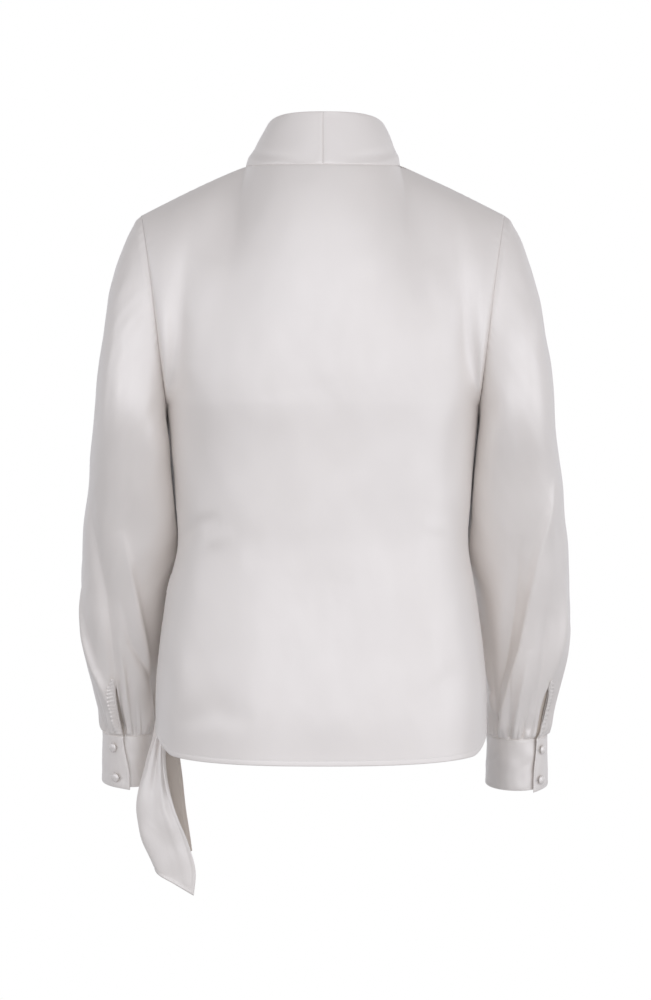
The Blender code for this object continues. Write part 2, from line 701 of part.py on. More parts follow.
def tie_row(fall, place):
    """One row across the long end: near edge, fold and far edge joined by a smooth line."""
    row = [column(TIE_END, field, fall, "fall") for field in TieRow._fields[1:]]
    near, fold, far = (np.array(row[i : i + 2]) for i in (0, 2, 4))
    bulge = np.array([0.0, 0.0035])
    knots = [0.0, 0.22, 0.42, 0.50, 0.58, 0.78, 1.0]
    turn_back = np.array([-0.0022, 0.0030])
    line = [
        near,
        near * 0.5 + fold * 0.5 + bulge,
        fold + turn_back,
        fold + np.array([0.0008, -0.0012]),
        fold + turn_back * np.array([1, -1.4]),
        fold * 0.5 + far * 0.5 - bulge * 0.6,
        far,
    ]
    return [through(knots, [point[i] for point in line], place) for i in (0, 1)]


def make_tie(parts):
    """The tie's long end, its short end and the strap from the side seam."""
    knot = knot_place()
    start = knot[2] - KNOT_SIZE[2] / 2 - TIE_TOP_DROP
    places = np.linspace(0, 1, 13)
    ends = through([0.0, 0.5, 1.0], [TIE_NEAR_END_Z, TIE_FOLD_END_Z, TIE_FAR_END_Z], places)
    rows = []
    for fall in np.linspace(0, 1, 13):
        x, y = tie_row(fall, places)
        rows.append(np.stack([x, y, start + (ends - start) * fall], axis=-1))
    sheet("tie_end_long", rows, CLOTH, parts)

    fall, place = np.meshgrid(np.linspace(0, 1, 8), np.linspace(-0.5, 0.5, 6), indexing="ij")
    width = SHORT_END_WIDTH * (0.42 + 0.58 * ease(0, 0.6, fall))
    share = SHORT_END_SHARE - SHORT_END_SWING * fall + width * place
    level = SHORT_END_TOP + (SHORT_END_BOTTOM - SHORT_END_TOP) * (fall + 0.10 * fall * place)
    lift = OVERLAP_LIFT + CLOTH + 0.0014 + 0.0024 * fall * (1 + np.sin(9 * place + 2 * fall))
    sheet("tie_end_short", front_point(share, level, lift), CLOTH, parts)

    half = STRAP_WIDTH / 2 / (UNDERARM_Z - HEM_FRONT_Z)
    shares = np.linspace(TIE_WAIST_U + 0.042, 0.985, 9)
    share, level = np.meshgrid(shares, TIE_WAIST_V + half * np.linspace(-1, 1, 3))
    lift = CLOTH + 0.0006 + 0.0050 * ease(0.82, TIE_WAIST_U + 0.05, share)
    sheet("tie_strap", front_point(share, level, lift), CLOTH, parts)


def main():
    for obj in list(bpy.data.objects):
        bpy.data.objects.remove(obj)
    parts = bpy.data.collections.new("blouse")
    bpy.context.scene.collection.children.link(parts)
    make_back(parts)
    make_fronts(parts)
    make_collar(parts)
    for arm in ARMS:
        make_sleeve(arm, parts)
        make_placket(arm, parts)
        make_cuff(arm, parts)
        make_buttons(arm, parts)
    make_knot(parts)
    make_tie(parts)


main()
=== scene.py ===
"""Ivory satin wrap blouse, filled out as worn and seen from behind.

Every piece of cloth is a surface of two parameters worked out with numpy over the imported
CAD frame: body panels, collar halves, bishop sleeves gathered into cuffs, slit bindings,
covered buttons, and the sash tied at the left waist. Metres throughout, +Z up, the wearer
faces -Y and the photograph looks along -Y.
"""

import logging
import math
from dataclasses import dataclass, field
from enum import Enum
from typing import Callable, Optional, Sequence

import bpy
import numpy as np
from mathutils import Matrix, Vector


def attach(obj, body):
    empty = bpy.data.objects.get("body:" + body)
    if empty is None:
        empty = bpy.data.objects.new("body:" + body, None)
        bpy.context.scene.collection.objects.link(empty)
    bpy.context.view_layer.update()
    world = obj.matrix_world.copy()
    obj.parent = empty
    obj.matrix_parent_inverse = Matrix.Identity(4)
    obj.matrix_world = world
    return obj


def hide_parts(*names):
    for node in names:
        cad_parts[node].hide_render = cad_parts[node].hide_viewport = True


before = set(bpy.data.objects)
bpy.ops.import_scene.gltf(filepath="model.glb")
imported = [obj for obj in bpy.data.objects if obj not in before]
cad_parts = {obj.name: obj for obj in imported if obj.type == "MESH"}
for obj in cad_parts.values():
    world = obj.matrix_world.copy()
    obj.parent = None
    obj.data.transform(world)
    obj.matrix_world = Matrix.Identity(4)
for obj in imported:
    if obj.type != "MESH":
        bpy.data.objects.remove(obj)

Array = np.ndarray
LOG = logging.getLogger("blouse")

SATIN_SHELL = 0.0006
WRAP_LIFT = 0.0026


class Side(Enum):
    """Which of the wearer's sides a piece is on, as the sign of its X."""

    LEFT = 1
    RIGHT = -1

    @property
    def word(self) -> str:
        """The side's name as the CAD nodes spell it."""
        return self.name.lower()


class Face(Enum):
    """Which way a body panel faces, as the sign of its Y."""

    BACK = 1
    FRONT = -1


# ---------------------------------------------------------------- curves and relief


def ease(low: float, high: float, at: Array) -> Array:
    """Smooth rise from 0 at low to 1 at high, as 3t^2 - 2t^3.

    Args:
        low: Where the rise starts.
        high: Where it ends, which may be below low.
        at: Values to read it at.

    Returns:
        The eased values, from 0 to 1.
    """
    t = np.clip((np.asarray(at, float) - low) / (high - low), 0, 1)
    return t * t * (3 - 2 * t)


def through(knots: Sequence[float], values: Sequence[float], at: Array) -> Array:
    """Cubic Hermite curve through the values, with slopes by central differences.

    Args:
        knots: Rising positions.
        values: One value for each knot.
        at: Positions to read the curve at.

    Returns:
        The curve's values.
    """
    x, y, at = (np.asarray(a, float) for a in (knots, values, at))
    slope = np.gradient(y, x)
    i = np.clip(np.searchsorted(x, at) - 1, 0, len(x) - 2)
    width = x[i + 1] - x[i]
    t = (at - x[i]) / width
    start = (1 + 2 * t) * (1 - t) ** 2 * y[i] + t * (1 - t) ** 2 * width * slope[i]
    end = t * t * (3 - 2 * t) * y[i + 1] + t * t * (t - 1) * width * slope[i + 1]
    return start + end


def bezier(p0: Array, p1: Array, p2: Array, p3: Array, t: Array) -> Array:
    """Cubic Bezier curve: the four points weighted by the Bernstein terms of t."""
    return (1 - t) ** 3 * p0 + 3 * (1 - t) ** 2 * t * p1 + 3 * (1 - t) * t * t * p2 + t**3 * p3


def soft_noise(across: Array, along: Array, wavelength: float, seed: int) -> Array:
    """Smooth unevenness: the sum of fourteen plane waves of like length in seeded directions.

    Args:
        across: First surface coordinate in metres.
        along: Second surface coordinate in metres.
        wavelength: Typical distance from crest to crest in metres.
        seed: Fixes the directions and phases.

    Returns:
        Values of about -1 to 1.
    """
    rng = np.random.default_rng(seed)
    total = np.zeros(np.broadcast(across, along).shape)
    for _ in range(14):
        heading, phase = rng.uniform(0, 2 * math.pi, 2)
        rate = 2 * math.pi / (wavelength * rng.uniform(0.75, 1.5))
        total += np.sin(rate * (across * math.cos(heading) + along * math.sin(heading)) + phase)
    return total / 4.2


@dataclass(frozen=True)
class Crease:
    """One soft ridge (height above 0) or trough (below 0) along a given line.

    Attributes:
        path: Points of the line in the surface's own two coordinates, in metres.
        height: Height at the middle of the line.
        left: Half width on the left of the line's direction.
        right: Half width on its right.
        start: Share of the height at the line's first point.
        end: Share of the height at its last point.
        crisp: Power of the bell across the line: 2 is soft, and nearer 1 has a sharp crest.
    """

    path: tuple[tuple[float, float], ...]
    height: float
    left: float
    right: float
    start: float = 0.0
    end: float = 0.0
    crisp: float = 2.0

    def lift(self, across: Array, along: Array) -> Array:
        """Height over the surface: a bell across the line times a swell along it.

        Args:
            across: First surface coordinate of each point.
            along: Second surface coordinate of each point.

        Returns:
            The height at each point.
        """
        points = np.asarray(self.path, float)
        steps = np.diff(points, axis=0)
        lengths = np.hypot(steps[:, 0], steps[:, 1])
        reached = np.concatenate([[0.0], np.cumsum(lengths)])
        best = np.full(np.broadcast(across, along).shape, np.inf)
        signed, share = np.zeros_like(best), np.zeros_like(best)
        for (x0, y0), (dx, dy), length, before in zip(points, steps, lengths, reached):
            px, py = across - x0, along - y0
            t = np.clip((px * dx + py * dy) / length**2, 0, 1)
            ex, ey = px - t * dx, py - t * dy
            apart = np.hypot(ex, ey)
            closer = apart < best
            best = np.where(closer, apart, best)
            signed = np.where(closer, np.sign(dx * py - dy * px) * apart, signed)
            share = np.where(closer, (before + t * length) / reached[-1], share)
        width = np.where(signed > 0, self.left, self.right)
        swell = np.sin(math.pi * np.clip(share, 0, 1)) ** 0.8
        swell = np.maximum(swell, self.start * ease(0.5, 0, share))
        swell = np.maximum(swell, self.end * ease(0.5, 1, share))
        return self.height * swell * np.exp(-(np.abs(signed / width) ** self.crisp))


def crease_lift(creases: Sequence[Crease], across: Array, along: Array) -> Array:
    """Sum of the heights of several creases."""
    total = np.zeros(np.broadcast(across, along).shape)
    for crease in creases:
        total = total + crease.lift(across, along)
    return total


def seam_puckers(distance: Array, along: Array, height: float, seed: int) -> Array:
    """Short uneven puckers beside a seam, which start at the stitches and fade from them.

    Args:
        distance: Distance to the seam in metres.
        along: Distance along the seam in metres.
        height: Height of the puckers.
        seed: Fixes their unevenness.

    Returns:
        Height to add to the surface.
    """
    uneven = soft_noise(along, 0 * along, 0.045, seed)
    pucker = np.sin(2 * math.pi * along / 0.0105 + 2.2 * uneven) * (0.55 + 0.45 * uneven)
    bell = np.exp(-(((distance - 0.004) / 0.0055) ** 2))
    return height * pucker * bell * ease(0, 0.002, distance)


def seam_dip(points: Array, distance: Array, depth: float) -> Array:
    """Cloth drawn in at a seam, towards a line inside the body, so that both sides still meet.

    Args:
        points: Points of the surface.
        distance: Distance to the seam in metres.
        depth: Depth of the narrow valley.

    Returns:
        What to add to the points.
    """
    low, high = np.array([-0.09, -0.01, -0.60]), np.array([0.09, -0.01, -0.12])
    inward = np.clip(points, low, high) - points
    inward /= np.maximum(np.linalg.norm(inward, axis=-1, keepdims=True), 1e-9)
    return inward * (depth * np.exp(-((distance / 0.0020) ** 2)))[..., None]


# ---------------------------------------------------------------- meshes


def cloth_normals(grid: Array) -> Array:
    """Unit normals of a grid of points: the cross product of its column and row slopes."""
    normal = np.cross(np.gradient(grid, axis=1), np.gradient(grid, axis=0))
    return normal / np.maximum(np.linalg.norm(normal, axis=-1, keepdims=True), 1e-12)


def run_along(grid: Array, axis: int) -> Array:
    """Distance walked along the rows (axis 1) or columns (axis 0) from the grid's first edge."""
    steps = np.linalg.norm(np.diff(grid, axis=axis), axis=-1)
    pad = [(0, 0), (0, 0)]
    pad[axis] = (1, 0)
    return np.cumsum(np.pad(steps, pad), axis=axis)


def edge_spacing(count: int, length: float, rounding: float) -> Array:
    """Shares from 0 to 1 with extra lines close to both ends, for a rounded edge.

    Args:
        count: Number of lines between the two roundings.
        length: Length of the strip in metres.
        rounding: How far in the rounding reaches in metres.

    Returns:
        Rising shares of the length.
    """
    near = np.array([0.0, 0.06, 0.22, 0.5]) * rounding / length
    middle = np.linspace(rounding / length, 1 - rounding / length, count)
    return np.concatenate([near, middle, 1 - near[::-1]])


def new_piece(
    name: str,
    points: Array,
    faces: Array,
    corner_uv: Array,
    materials: Sequence[bpy.types.Material],
) -> bpy.types.Object:
    """Makes an object from arrays, leaving out points that no face uses.

    Args:
        name: Object name.
        points: Points as an (n, 3) array.
        faces: Quads as an (m, 4) array of indices.
        corner_uv: UV of every face corner as an (m, 4, 2) array, in metres of cloth.
        materials: Materials for its slots.

    Returns:
        The new object, linked to the scene.
    """
    used, remapped = np.unique(faces, return_inverse=True)
    mesh = bpy.data.meshes.new(name)
    mesh.from_pydata(points[used].tolist(), [], remapped.reshape(faces.shape).tolist())
    layer = mesh.uv_layers.new(name="cloth")
    layer.data.foreach_set("uv", corner_uv.reshape(-1).astype(np.float32))
    mesh.update()
    mesh.shade_smooth()
    for material in materials:
        mesh.materials.append(material)
    piece = bpy.data.objects.new(name, mesh)
    bpy.context.scene.collection.objects.link(piece)
    return piece


def grid_quads(index: Array) -> Array:
    """Quads of a grid of indices, wound so that they face along columns x rows."""
    quads = np.stack([index[:-1, :-1], index[:-1, 1:], index[1:, 1:], index[1:, :-1]], axis=-1)
    return quads.reshape(-1, 4)


def shell(
    name: str,
    grid: Array,
    outward: bool,
    materials: Sequence[bpy.types.Material],
    weld_from: Optional[int] = None,
    thickness: float = SATIN_SHELL,
) -> bpy.types.Object:
    """A single layer of cloth over a grid, with a thin wall.

    Args:
        name: Object name.
        grid: Points as a (rows, columns, 3) array.
        outward: Whether the grid's own normals already point out of the garment.
        materials: Right side and wrong side of the cloth; the wrong side's darker colour is painted shade.
        weld_from: Row from which the last column is the first one, for a tube with a slit.
        thickness: Wall thickness, half to each side.

    Returns:
        The object.
    """
    rows, columns = grid.shape[:2]
    index = np.arange(rows * columns).reshape(rows, columns)
    corners = grid_quads(index)
    joined = index.copy()
    if weld_from is not None:
        joined[weld_from:, -1] = joined[weld_from:, 0]
    faces = grid_quads(joined)
    if not outward:
        faces, corners = faces[:, ::-1], corners[:, ::-1]
    uv = np.stack([run_along(grid, 1), run_along(grid, 0)], axis=-1).reshape(-1, 2)
    piece = new_piece(name, grid.reshape(-1, 3), faces, uv[corners], materials)
    wall = piece.modifiers.new("wall", "SOLIDIFY")
    wall.thickness, wall.offset, wall.use_rim = thickness, 0.0, True
    wall.material_offset = 1 if len(materials) > 1 else 0
    return piece


def doubled_band(
    name: str,
    grid: Array,
    thickness: Array | float,
    rounding: float,
    materials: Sequence[bpy.types.Material],
    outward: bool,
    slack: Optional[Array] = None,
) -> bpy.types.Object:
    """A doubled strip of cloth with soft folded edges, closed all round.

    Both faces are the middle surface moved along its normal by half the thickness, which
    falls to nothing at the strip's edges as a quarter of an ellipse.

    Args:
        name: Object name.
        grid: Middle surface as a (rows, columns, 3) array.
        thickness: Thickness away from the edges.
        rounding: Distance from the edge over which it rounds off.
        materials: Material of both faces.
        outward: Whether the grid's normals point out of the garment.
        slack: Extra height of the outer face.

    Returns:
        The object.
    """
    rows, columns = grid.shape[:2]
    normal = cloth_normals(grid) * (1 if outward else -1)
    across, up = run_along(grid, 1), run_along(grid, 0)
    edge = np.minimum.reduce([across, across[:, -1:] - across, up, up[-1:] - up])
    half = 0.5 * thickness * np.sqrt(np.clip(1 - (1 - np.clip(edge / rounding, 0, 1)) ** 2, 0, 1))
    outer_height = half if slack is None else half + slack * ease(0, rounding * 2, edge)
    front = grid + normal * outer_height[..., None]
    back = grid - normal * half[..., None]
    index = np.arange(rows * columns).reshape(rows, columns)
    border = np.zeros((rows, columns), bool)
    border[[0, -1]], border[:, [0, -1]] = True, True
    behind = np.where(border, index, index + rows * columns)
    outer, inner = grid_quads(index), grid_quads(behind)[:, ::-1]
    corners = np.concatenate([grid_quads(index), grid_quads(index)[:, ::-1]])
    faces = np.concatenate([outer, inner])
    if not outward:
        faces, corners = faces[:, ::-1], corners[:, ::-1]
    points = np.concatenate([front.reshape(-1, 3), back.reshape(-1, 3)])
    uv = np.stack([across, up], axis=-1).reshape(-1, 2)
    return new_piece(name, points, faces, uv[corners], materials)


# ---------------------------------------------------------------- finishes


@dataclass(frozen=True)
class Satin:
    """Silk satin: a smooth shiny face with fine long floats, faint unevenness and soft sheen.

    Attributes:
        name: Material name.
        colour: Main colour, linear.
        tint: Colour it drifts towards in broad soft patches.
        gloss: Lowest and highest roughness over the surface.
        sheen: Strength of the grazing sheen.
        ior: Index of refraction, above silk's 1.55 because the aligned floats reflect together.
        float_depth: Relief of the weave's long floats in metres.
        rumple: Relief of the fine rumpling in metres.
    """

    name: str
    colour: tuple[float, float, float]
    tint: tuple[float, float, float]
    gloss: tuple[float, float] = (0.36, 0.44)
    sheen: float = 0.12
    ior: float = 1.95
    float_depth: float = 0.00004
    rumple: float = 0.00030

    def build(self) -> bpy.types.Material:
        """Builds the node material on the piece's own cloth UV, which is in metres.

        Returns:
            The material.
        """
        material = bpy.data.materials.new(self.name)
        material.use_nodes = True
        tree = material.node_tree
        nodes, link = tree.nodes, tree.links.new
        shader = nodes["Principled BSDF"]
        shader.inputs["IOR"].default_value = self.ior
        shader.inputs["Specular IOR Level"].default_value = 0.9
        shader.inputs["Sheen Weight"].default_value = self.sheen
        shader.inputs["Sheen Roughness"].default_value = 0.35
        uv = nodes.new("ShaderNodeUVMap")
        uv.uv_map = "cloth"

        def noise(scale: tuple[float, float], detail: float) -> bpy.types.NodeSocket:
            """Noise at so many waves a metre across and along the cloth."""
            mapping = nodes.new("ShaderNodeMapping")
            mapping.inputs["Scale"].default_value = (*scale, 1.0)
            texture = nodes.new("ShaderNodeTexNoise")
            texture.inputs["Scale"].default_value = 1.0
            texture.inputs["Detail"].default_value = detail
            link(uv.outputs["UV"], mapping.inputs["Vector"])
            link(mapping.outputs["Vector"], texture.inputs["Vector"])
            return texture.outputs["Fac"]

        drift = nodes.new("ShaderNodeMix")
        drift.data_type = "RGBA"
        drift.inputs["A"].default_value = (*self.colour, 1.0)
        drift.inputs["B"].default_value = (*self.tint, 1.0)
        link(noise((9.0, 5.0), 2.0), drift.inputs["Factor"])
        link(drift.outputs["Result"], shader.inputs["Base Color"])
        gloss = nodes.new("ShaderNodeMapRange")
        gloss.inputs["From Min"].default_value, gloss.inputs["From Max"].default_value = 0.3, 0.7
        gloss.inputs["To Min"].default_value, gloss.inputs["To Max"].default_value = self.gloss
        link(noise((70.0, 24.0), 3.0), gloss.inputs["Value"])
        link(gloss.outputs["Result"], shader.inputs["Roughness"])
        floats = nodes.new("ShaderNodeBump")
        floats.inputs["Strength"].default_value = 0.6
        floats.inputs["Distance"].default_value = self.float_depth
        link(noise((3600.0, 260.0), 1.0), floats.inputs["Height"])
        rumple = nodes.new("ShaderNodeBump")
        rumple.inputs["Strength"].default_value = 0.5
        rumple.inputs["Distance"].default_value = self.rumple
        link(noise((46.0, 30.0), 3.0), rumple.inputs["Height"])
        link(floats.outputs["Normal"], rumple.inputs["Normal"])
        link(rumple.outputs["Normal"], shader.inputs["Normal"])
        return material


@dataclass(frozen=True)
class Thread:
    """Silk sewing thread with a fine twist.

    Attributes:
        name: Material name.
        colour: Colour, linear.
    """

    name: str
    colour: tuple[float, float, float]

    def build(self) -> bpy.types.Material:
        """Builds the material: a fine wave in object space stands for the thread's twist.

        Returns:
            The material.
        """
        material = bpy.data.materials.new(self.name)
        material.use_nodes = True
        nodes, link = material.node_tree.nodes, material.node_tree.links.new
        shader = nodes["Principled BSDF"]
        shader.inputs["Roughness"].default_value = 0.45
        place = nodes.new("ShaderNodeTexCoord")
        wave = nodes.new("ShaderNodeTexWave")
        wave.inputs["Scale"].default_value = 900.0
        shade = nodes.new("ShaderNodeMix")
        shade.data_type = "RGBA"
        shade.inputs["A"].default_value = (*(0.86 * c for c in self.colour), 1.0)
        shade.inputs["B"].default_value = (*self.colour, 1.0)
        link(place.outputs["Object"], wave.inputs["Vector"])
        link(wave.outputs["Fac"], shade.inputs["Factor"])
        link(shade.outputs["Result"], shader.inputs["Base Color"])
        return material


@dataclass
class Wardrobe:
    """The blouse's finishes, built once."""

    face: bpy.types.Material = field(init=False)
    # Wrong side of the cloth, coloured darker than the face as painted shade.
    reverse: bpy.types.Material = field(init=False)
    sash: bpy.types.Material = field(init=False)
    button: bpy.types.Material = field(init=False)
    thread: bpy.types.Material = field(init=False)

    def __post_init__(self) -> None:
        """Builds the five materials."""
        ivory, cream = (0.79, 0.744, 0.705), (0.78, 0.728, 0.680)
        self.face = Satin("ivory_satin_face", ivory, cream).build()
        # The wrong side's colour is darker and warmer than the face's. This is painted shade for cloth turned away into
        # shadow: the insides, the slit underlaps and the sash's far flap. Its higher roughness is the real matte back
        # of the satin.
        self.reverse = Satin(
            "ivory_satin_reverse", (0.68, 0.61, 0.54), (0.66, 0.585, 0.51), (0.55, 0.68), 0.25, 1.5
        ).build()
        self.sash = Satin("sash_satin", ivory, cream, (0.34, 0.42), rumple=0.0004).build()
        self.button = Satin(
            "button_satin", ivory, cream, (0.22, 0.30), 0.10, 2.2, 0.00003, 0.00010
        ).build()
        self.thread = Thread("ivory_thread", (0.80, 0.78, 0.75)).build()

    def wear(self, piece: bpy.types.Object, nodes: Sequence[str] = (), slot: str = "ivory_satin") -> None:
        """Ties a finished piece to the CAD: its body and the nodes it stands for.

        Args:
            piece: The finished piece.
            nodes: CAD nodes that it replaces.
            slot: Not used.
        """
        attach(piece, "root")
        if nodes:
            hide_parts(*nodes)
        LOG.info("made %s: %d faces", piece.name, len(piece.data.polygons))


# ---------------------------------------------------------------- body


@dataclass(frozen=True)
class Ring:
    """A level ring round the body: its height, half width, and depths behind and in front."""

    height: float
    half_width: float
    side_y: float
    back: float
    front: float


@dataclass(frozen=True)
class Fall:
    """How a panel leaves the neck and shoulder line at a share of the way out."""

    share: float
    across: float
    out: float
    drop: float


def column(table: Sequence[object], name: str, at: Array, key: str) -> Array:
    """A table's named column, read smoothly at other values of its key column."""
    return through([getattr(r, key) for r in table], [getattr(r, name) for r in table], at)


@dataclass(frozen=True)
class BodyForm:
    """The blouse's body: rings below the underarm, and curves up to the shoulders above it."""

    underarm_z: float = -0.250
    hem_back_z: float = -0.620
    hem_front_z: float = -0.615
    hem_side_rise: float = 0.014
    hem_corner_rise: float = 0.018
    hem_corner_start: float = 0.66
    neck_half_width: float = 0.080
    neck_y: float = -0.008
    neck_back_depth: float = 0.063
    neck_front_depth: float = 0.064
    neck_point_z: float = 0.003
    neck_back_drop: float = 0.003
    neck_front_drop: float = 0.063
    neck_share: float = 0.354
    shoulder_half_width: float = 0.192
    shoulder_tip_y: float = -0.010
    shoulder_drop: float = 0.052
    shoulder_bow: float = 1.12
    back_square: float = 2.5
    front_square: float = 2.2
    armhole_start: float = 0.66
    left_bulge: float = 0.0040
    back_lift: tuple[float, float, float] = (0.0, 0.004, 0.095)
    front_lift: tuple[float, float, float] = (0.0, 0.010, 0.080)
    back_scoop: tuple[float, float, float] = (-0.002, 0.085, 0.006)
    front_scoop: tuple[float, float, float] = (-0.004, -0.090, 0.004)
    rings: tuple[Ring, ...] = (
        Ring(-0.640, 0.1765, -0.010, 0.1180, 0.1140),
        Ring(-0.560, 0.1730, -0.010, 0.1130, 0.1120),
        Ring(-0.495, 0.1670, -0.010, 0.1064, 0.1100),
        Ring(-0.445, 0.1602, -0.010, 0.1022, 0.1080),
        Ring(-0.392, 0.1522, -0.010, 0.0998, 0.1080),
        Ring(-0.350, 0.1548, -0.010, 0.1006, 0.1140),
        Ring(-0.300, 0.1590, -0.012, 0.1044, 0.1240),
        Ring(-0.250, 0.1640, -0.012, 0.1080, 0.1280),
    )
    back_fall: tuple[Fall, ...] = (
        Fall(0.000, 0.000, 0.034, -0.046),
        Fall(0.354, 0.003, 0.047, -0.034),
        Fall(0.700, -0.001, 0.058, -0.025),
        Fall(1.000, -0.006, 0.048, -0.026),
    )
    front_fall: tuple[Fall, ...] = (
        Fall(0.000, 0.000, 0.036, -0.045),
        Fall(0.354, 0.002, 0.050, -0.036),
        Fall(0.700, -0.004, 0.055, -0.030),
        Fall(1.000, -0.010, 0.042, -0.028),
    )

    def ring(self, share: Array, height: Array, face: Face) -> Array:
        """Point on a ring: x and y are a sine and cosine raised to a power, as a superellipse.

        Args:
            share: From -1 at the right side seam to 1 at the left.
            height: Height of the ring.
            face: Back or front half.

        Returns:
            Points as (..., 3).
        """
        back = face is Face.BACK
        depth = column(self.rings, "back" if back else "front", height, "height")
        half = column(self.rings, "half_width", height, "height")
        power = 2 / (self.back_square if back else self.front_square)
        angle = share * math.pi / 2
        x = half * np.sign(share) * np.abs(np.sin(angle)) ** power
        side_y = column(self.rings, "side_y", height, "height")
        y = side_y + face.value * depth * np.abs(np.cos(angle)) ** power
        return np.stack(np.broadcast_arrays(x, y, height), axis=-1)

    def reach(self, y: Array, height: Array) -> Array:
        """How far out the body comes at this y and height: the superellipse solved for x."""
        aside = y - column(self.rings, "side_y", height, "height")
        depth = np.where(
            aside > 0,
            column(self.rings, "back", height, "height"),
            column(self.rings, "front", height, "height"),
        )
        power = np.where(aside > 0, self.back_square, self.front_square)
        half = column(self.rings, "half_width", height, "height")
        return half * np.clip(1 - np.clip(np.abs(aside) / depth, 0, 1) ** power, 0, 1) ** (1 / power)

    def neck(self, angle: Array) -> Array:
        """Neck seam: an ellipse from the back's centre (0) round to the front's (pi), dropping in front."""
        across, along = np.sin(angle), np.cos(angle)
        depth = np.where(along > 0, self.neck_back_depth, self.neck_front_depth)
        drop = np.where(along > 0, self.neck_back_drop, self.neck_front_drop)
        height = self.neck_point_z - drop * np.abs(along) ** 1.4
        return np.stack([self.neck_half_width * across, self.neck_y + depth * along, height], axis=-1)

    def top_line(self, share: Array, face: Face) -> Array:
        """Top edge of a panel: the neck seam in the middle and a bowed shoulder seam each side."""
        out = np.abs(share)
        angle = np.clip(out / self.neck_share, 0, 1) * math.pi / 2
        neck = self.neck(angle if face is Face.BACK else math.pi - angle)
        along = np.clip((out - self.neck_share) / (1 - self.neck_share), 0, 1)
        x = neck[..., 0] + (self.shoulder_half_width - self.neck_half_width) * along
        y = neck[..., 1] + (self.shoulder_tip_y - self.neck_y) * along
        z = neck[..., 2] - self.shoulder_drop * along**self.shoulder_bow
        return np.stack([np.sign(share) * x, y, z], axis=-1)

    def soft_top(self, share: Array, face: Face, reach: float) -> Array:
        """Top line without its corner at the neck: a bell-weighted mean over nearby shares.

        Args:
            share: Share of the width.
            face: Back or front.
            reach: How far to each side the mean reaches.

        Returns:
            Points as (..., 3), which at both ends are the top line's own.
        """
        steps = np.linspace(-1, 1, 25)
        weights = np.cos(steps * math.pi / 2) ** 2
        room = np.minimum(reach, 1 - np.abs(share))
        tops = [w * self.top_line(share + s * room, face) for s, w in zip(steps, weights)]
        return np.sum(tops, axis=0) / weights.sum()

    def hem(self, share: Array, face: Face) -> Array:
        """Height of the hem: a parabola towards the sides plus a turned-up corner."""
        middle = self.hem_back_z if face is Face.BACK else self.hem_front_z
        corner = self.hem_corner_rise * ease(self.hem_corner_start, 1, np.abs(share))
        return middle + self.hem_side_rise * share**2 + corner

    def point(self, share: Array, level: Array, face: Face) -> Array:
        """Point of a panel: rings up to the underarm, then a Bezier curve in each column.

        Args:
            share: From the right side seam (-1) to the left (1).
            level: From the hem (0) by the underarm (1) to the neck and shoulder line (2).
            face: Back or front.

        Returns:
            Points as (..., 3).
        """
        share, level = np.broadcast_arrays(np.asarray(share, float), np.asarray(level, float))
        hem = self.hem(share, face)
        lower = self.ring(share, hem + (self.underarm_z - hem) * np.clip(level, 0, 1), face)
        bulge = ease(-0.395, -0.455, lower[..., 2]) * ease(0.72, 1, share)
        lower[..., 0] += self.left_bulge * bulge
        back = face is Face.BACK
        lift, scoop = (self.back_lift, self.back_scoop) if back else (self.front_lift, self.front_scoop)
        table = self.back_fall if back else self.front_fall
        table = (Fall(-table[1].share, table[1].across, table[1].out, table[1].drop),) + table
        armhole = ease(self.armhole_start, 1, np.abs(share))[..., None]
        side = np.sign(share)[..., None] * np.array([1.0, 0, 0]) + np.array([0, 1.0, 1.0])
        base = self.ring(share, self.underarm_z + 0 * share, face)
        first = base + ((1 - armhole) * np.array(lift) + armhole * np.array(scoop)) * side
        top = self.top_line(share, face)
        out = np.abs(share)
        across, away, drop = (column(table, n, out, "share") for n in ("across", "out", "drop"))
        fall = np.stack([np.sign(share) * across, face.value * away, drop], axis=-1)
        rise = np.clip(level - 1, 0, 1)[..., None]
        edge = self.soft_top(share, face, 0.15)
        upper = bezier(base, first, self.soft_top(share, face, 0.30) + fall, edge, rise)
        upper = upper + (top - edge) * rise**7
        return np.where((level <= 1)[..., None], lower, upper)

    def lifted(self, share: Array, level: Array, lift: Array, face: Face = Face.FRONT) -> Array:
        """Point moved out along the panel's normal, which the surface's own slopes give."""
        s, v = np.clip(share, -0.985, 0.985), np.clip(level, 0.015, 1.985)
        along = self.point(s + 0.01, v, face) - self.point(s - 0.01, v, face)
        up = self.point(s, v + 0.01, face) - self.point(s, v - 0.01, face)
        normal = np.cross(along, up)
        normal /= np.maximum(np.linalg.norm(normal, axis=-1, keepdims=True), 1e-9)
        normal *= np.where(normal[..., 1:2] * face.value < 0, -1, 1)
        return self.point(share, level, face) + normal * np.asarray(lift)[..., None]


@dataclass(frozen=True)
class WrapEdge:
    """Where the right front's free edge runs: share of the width at a level."""

    level: float
    share: float


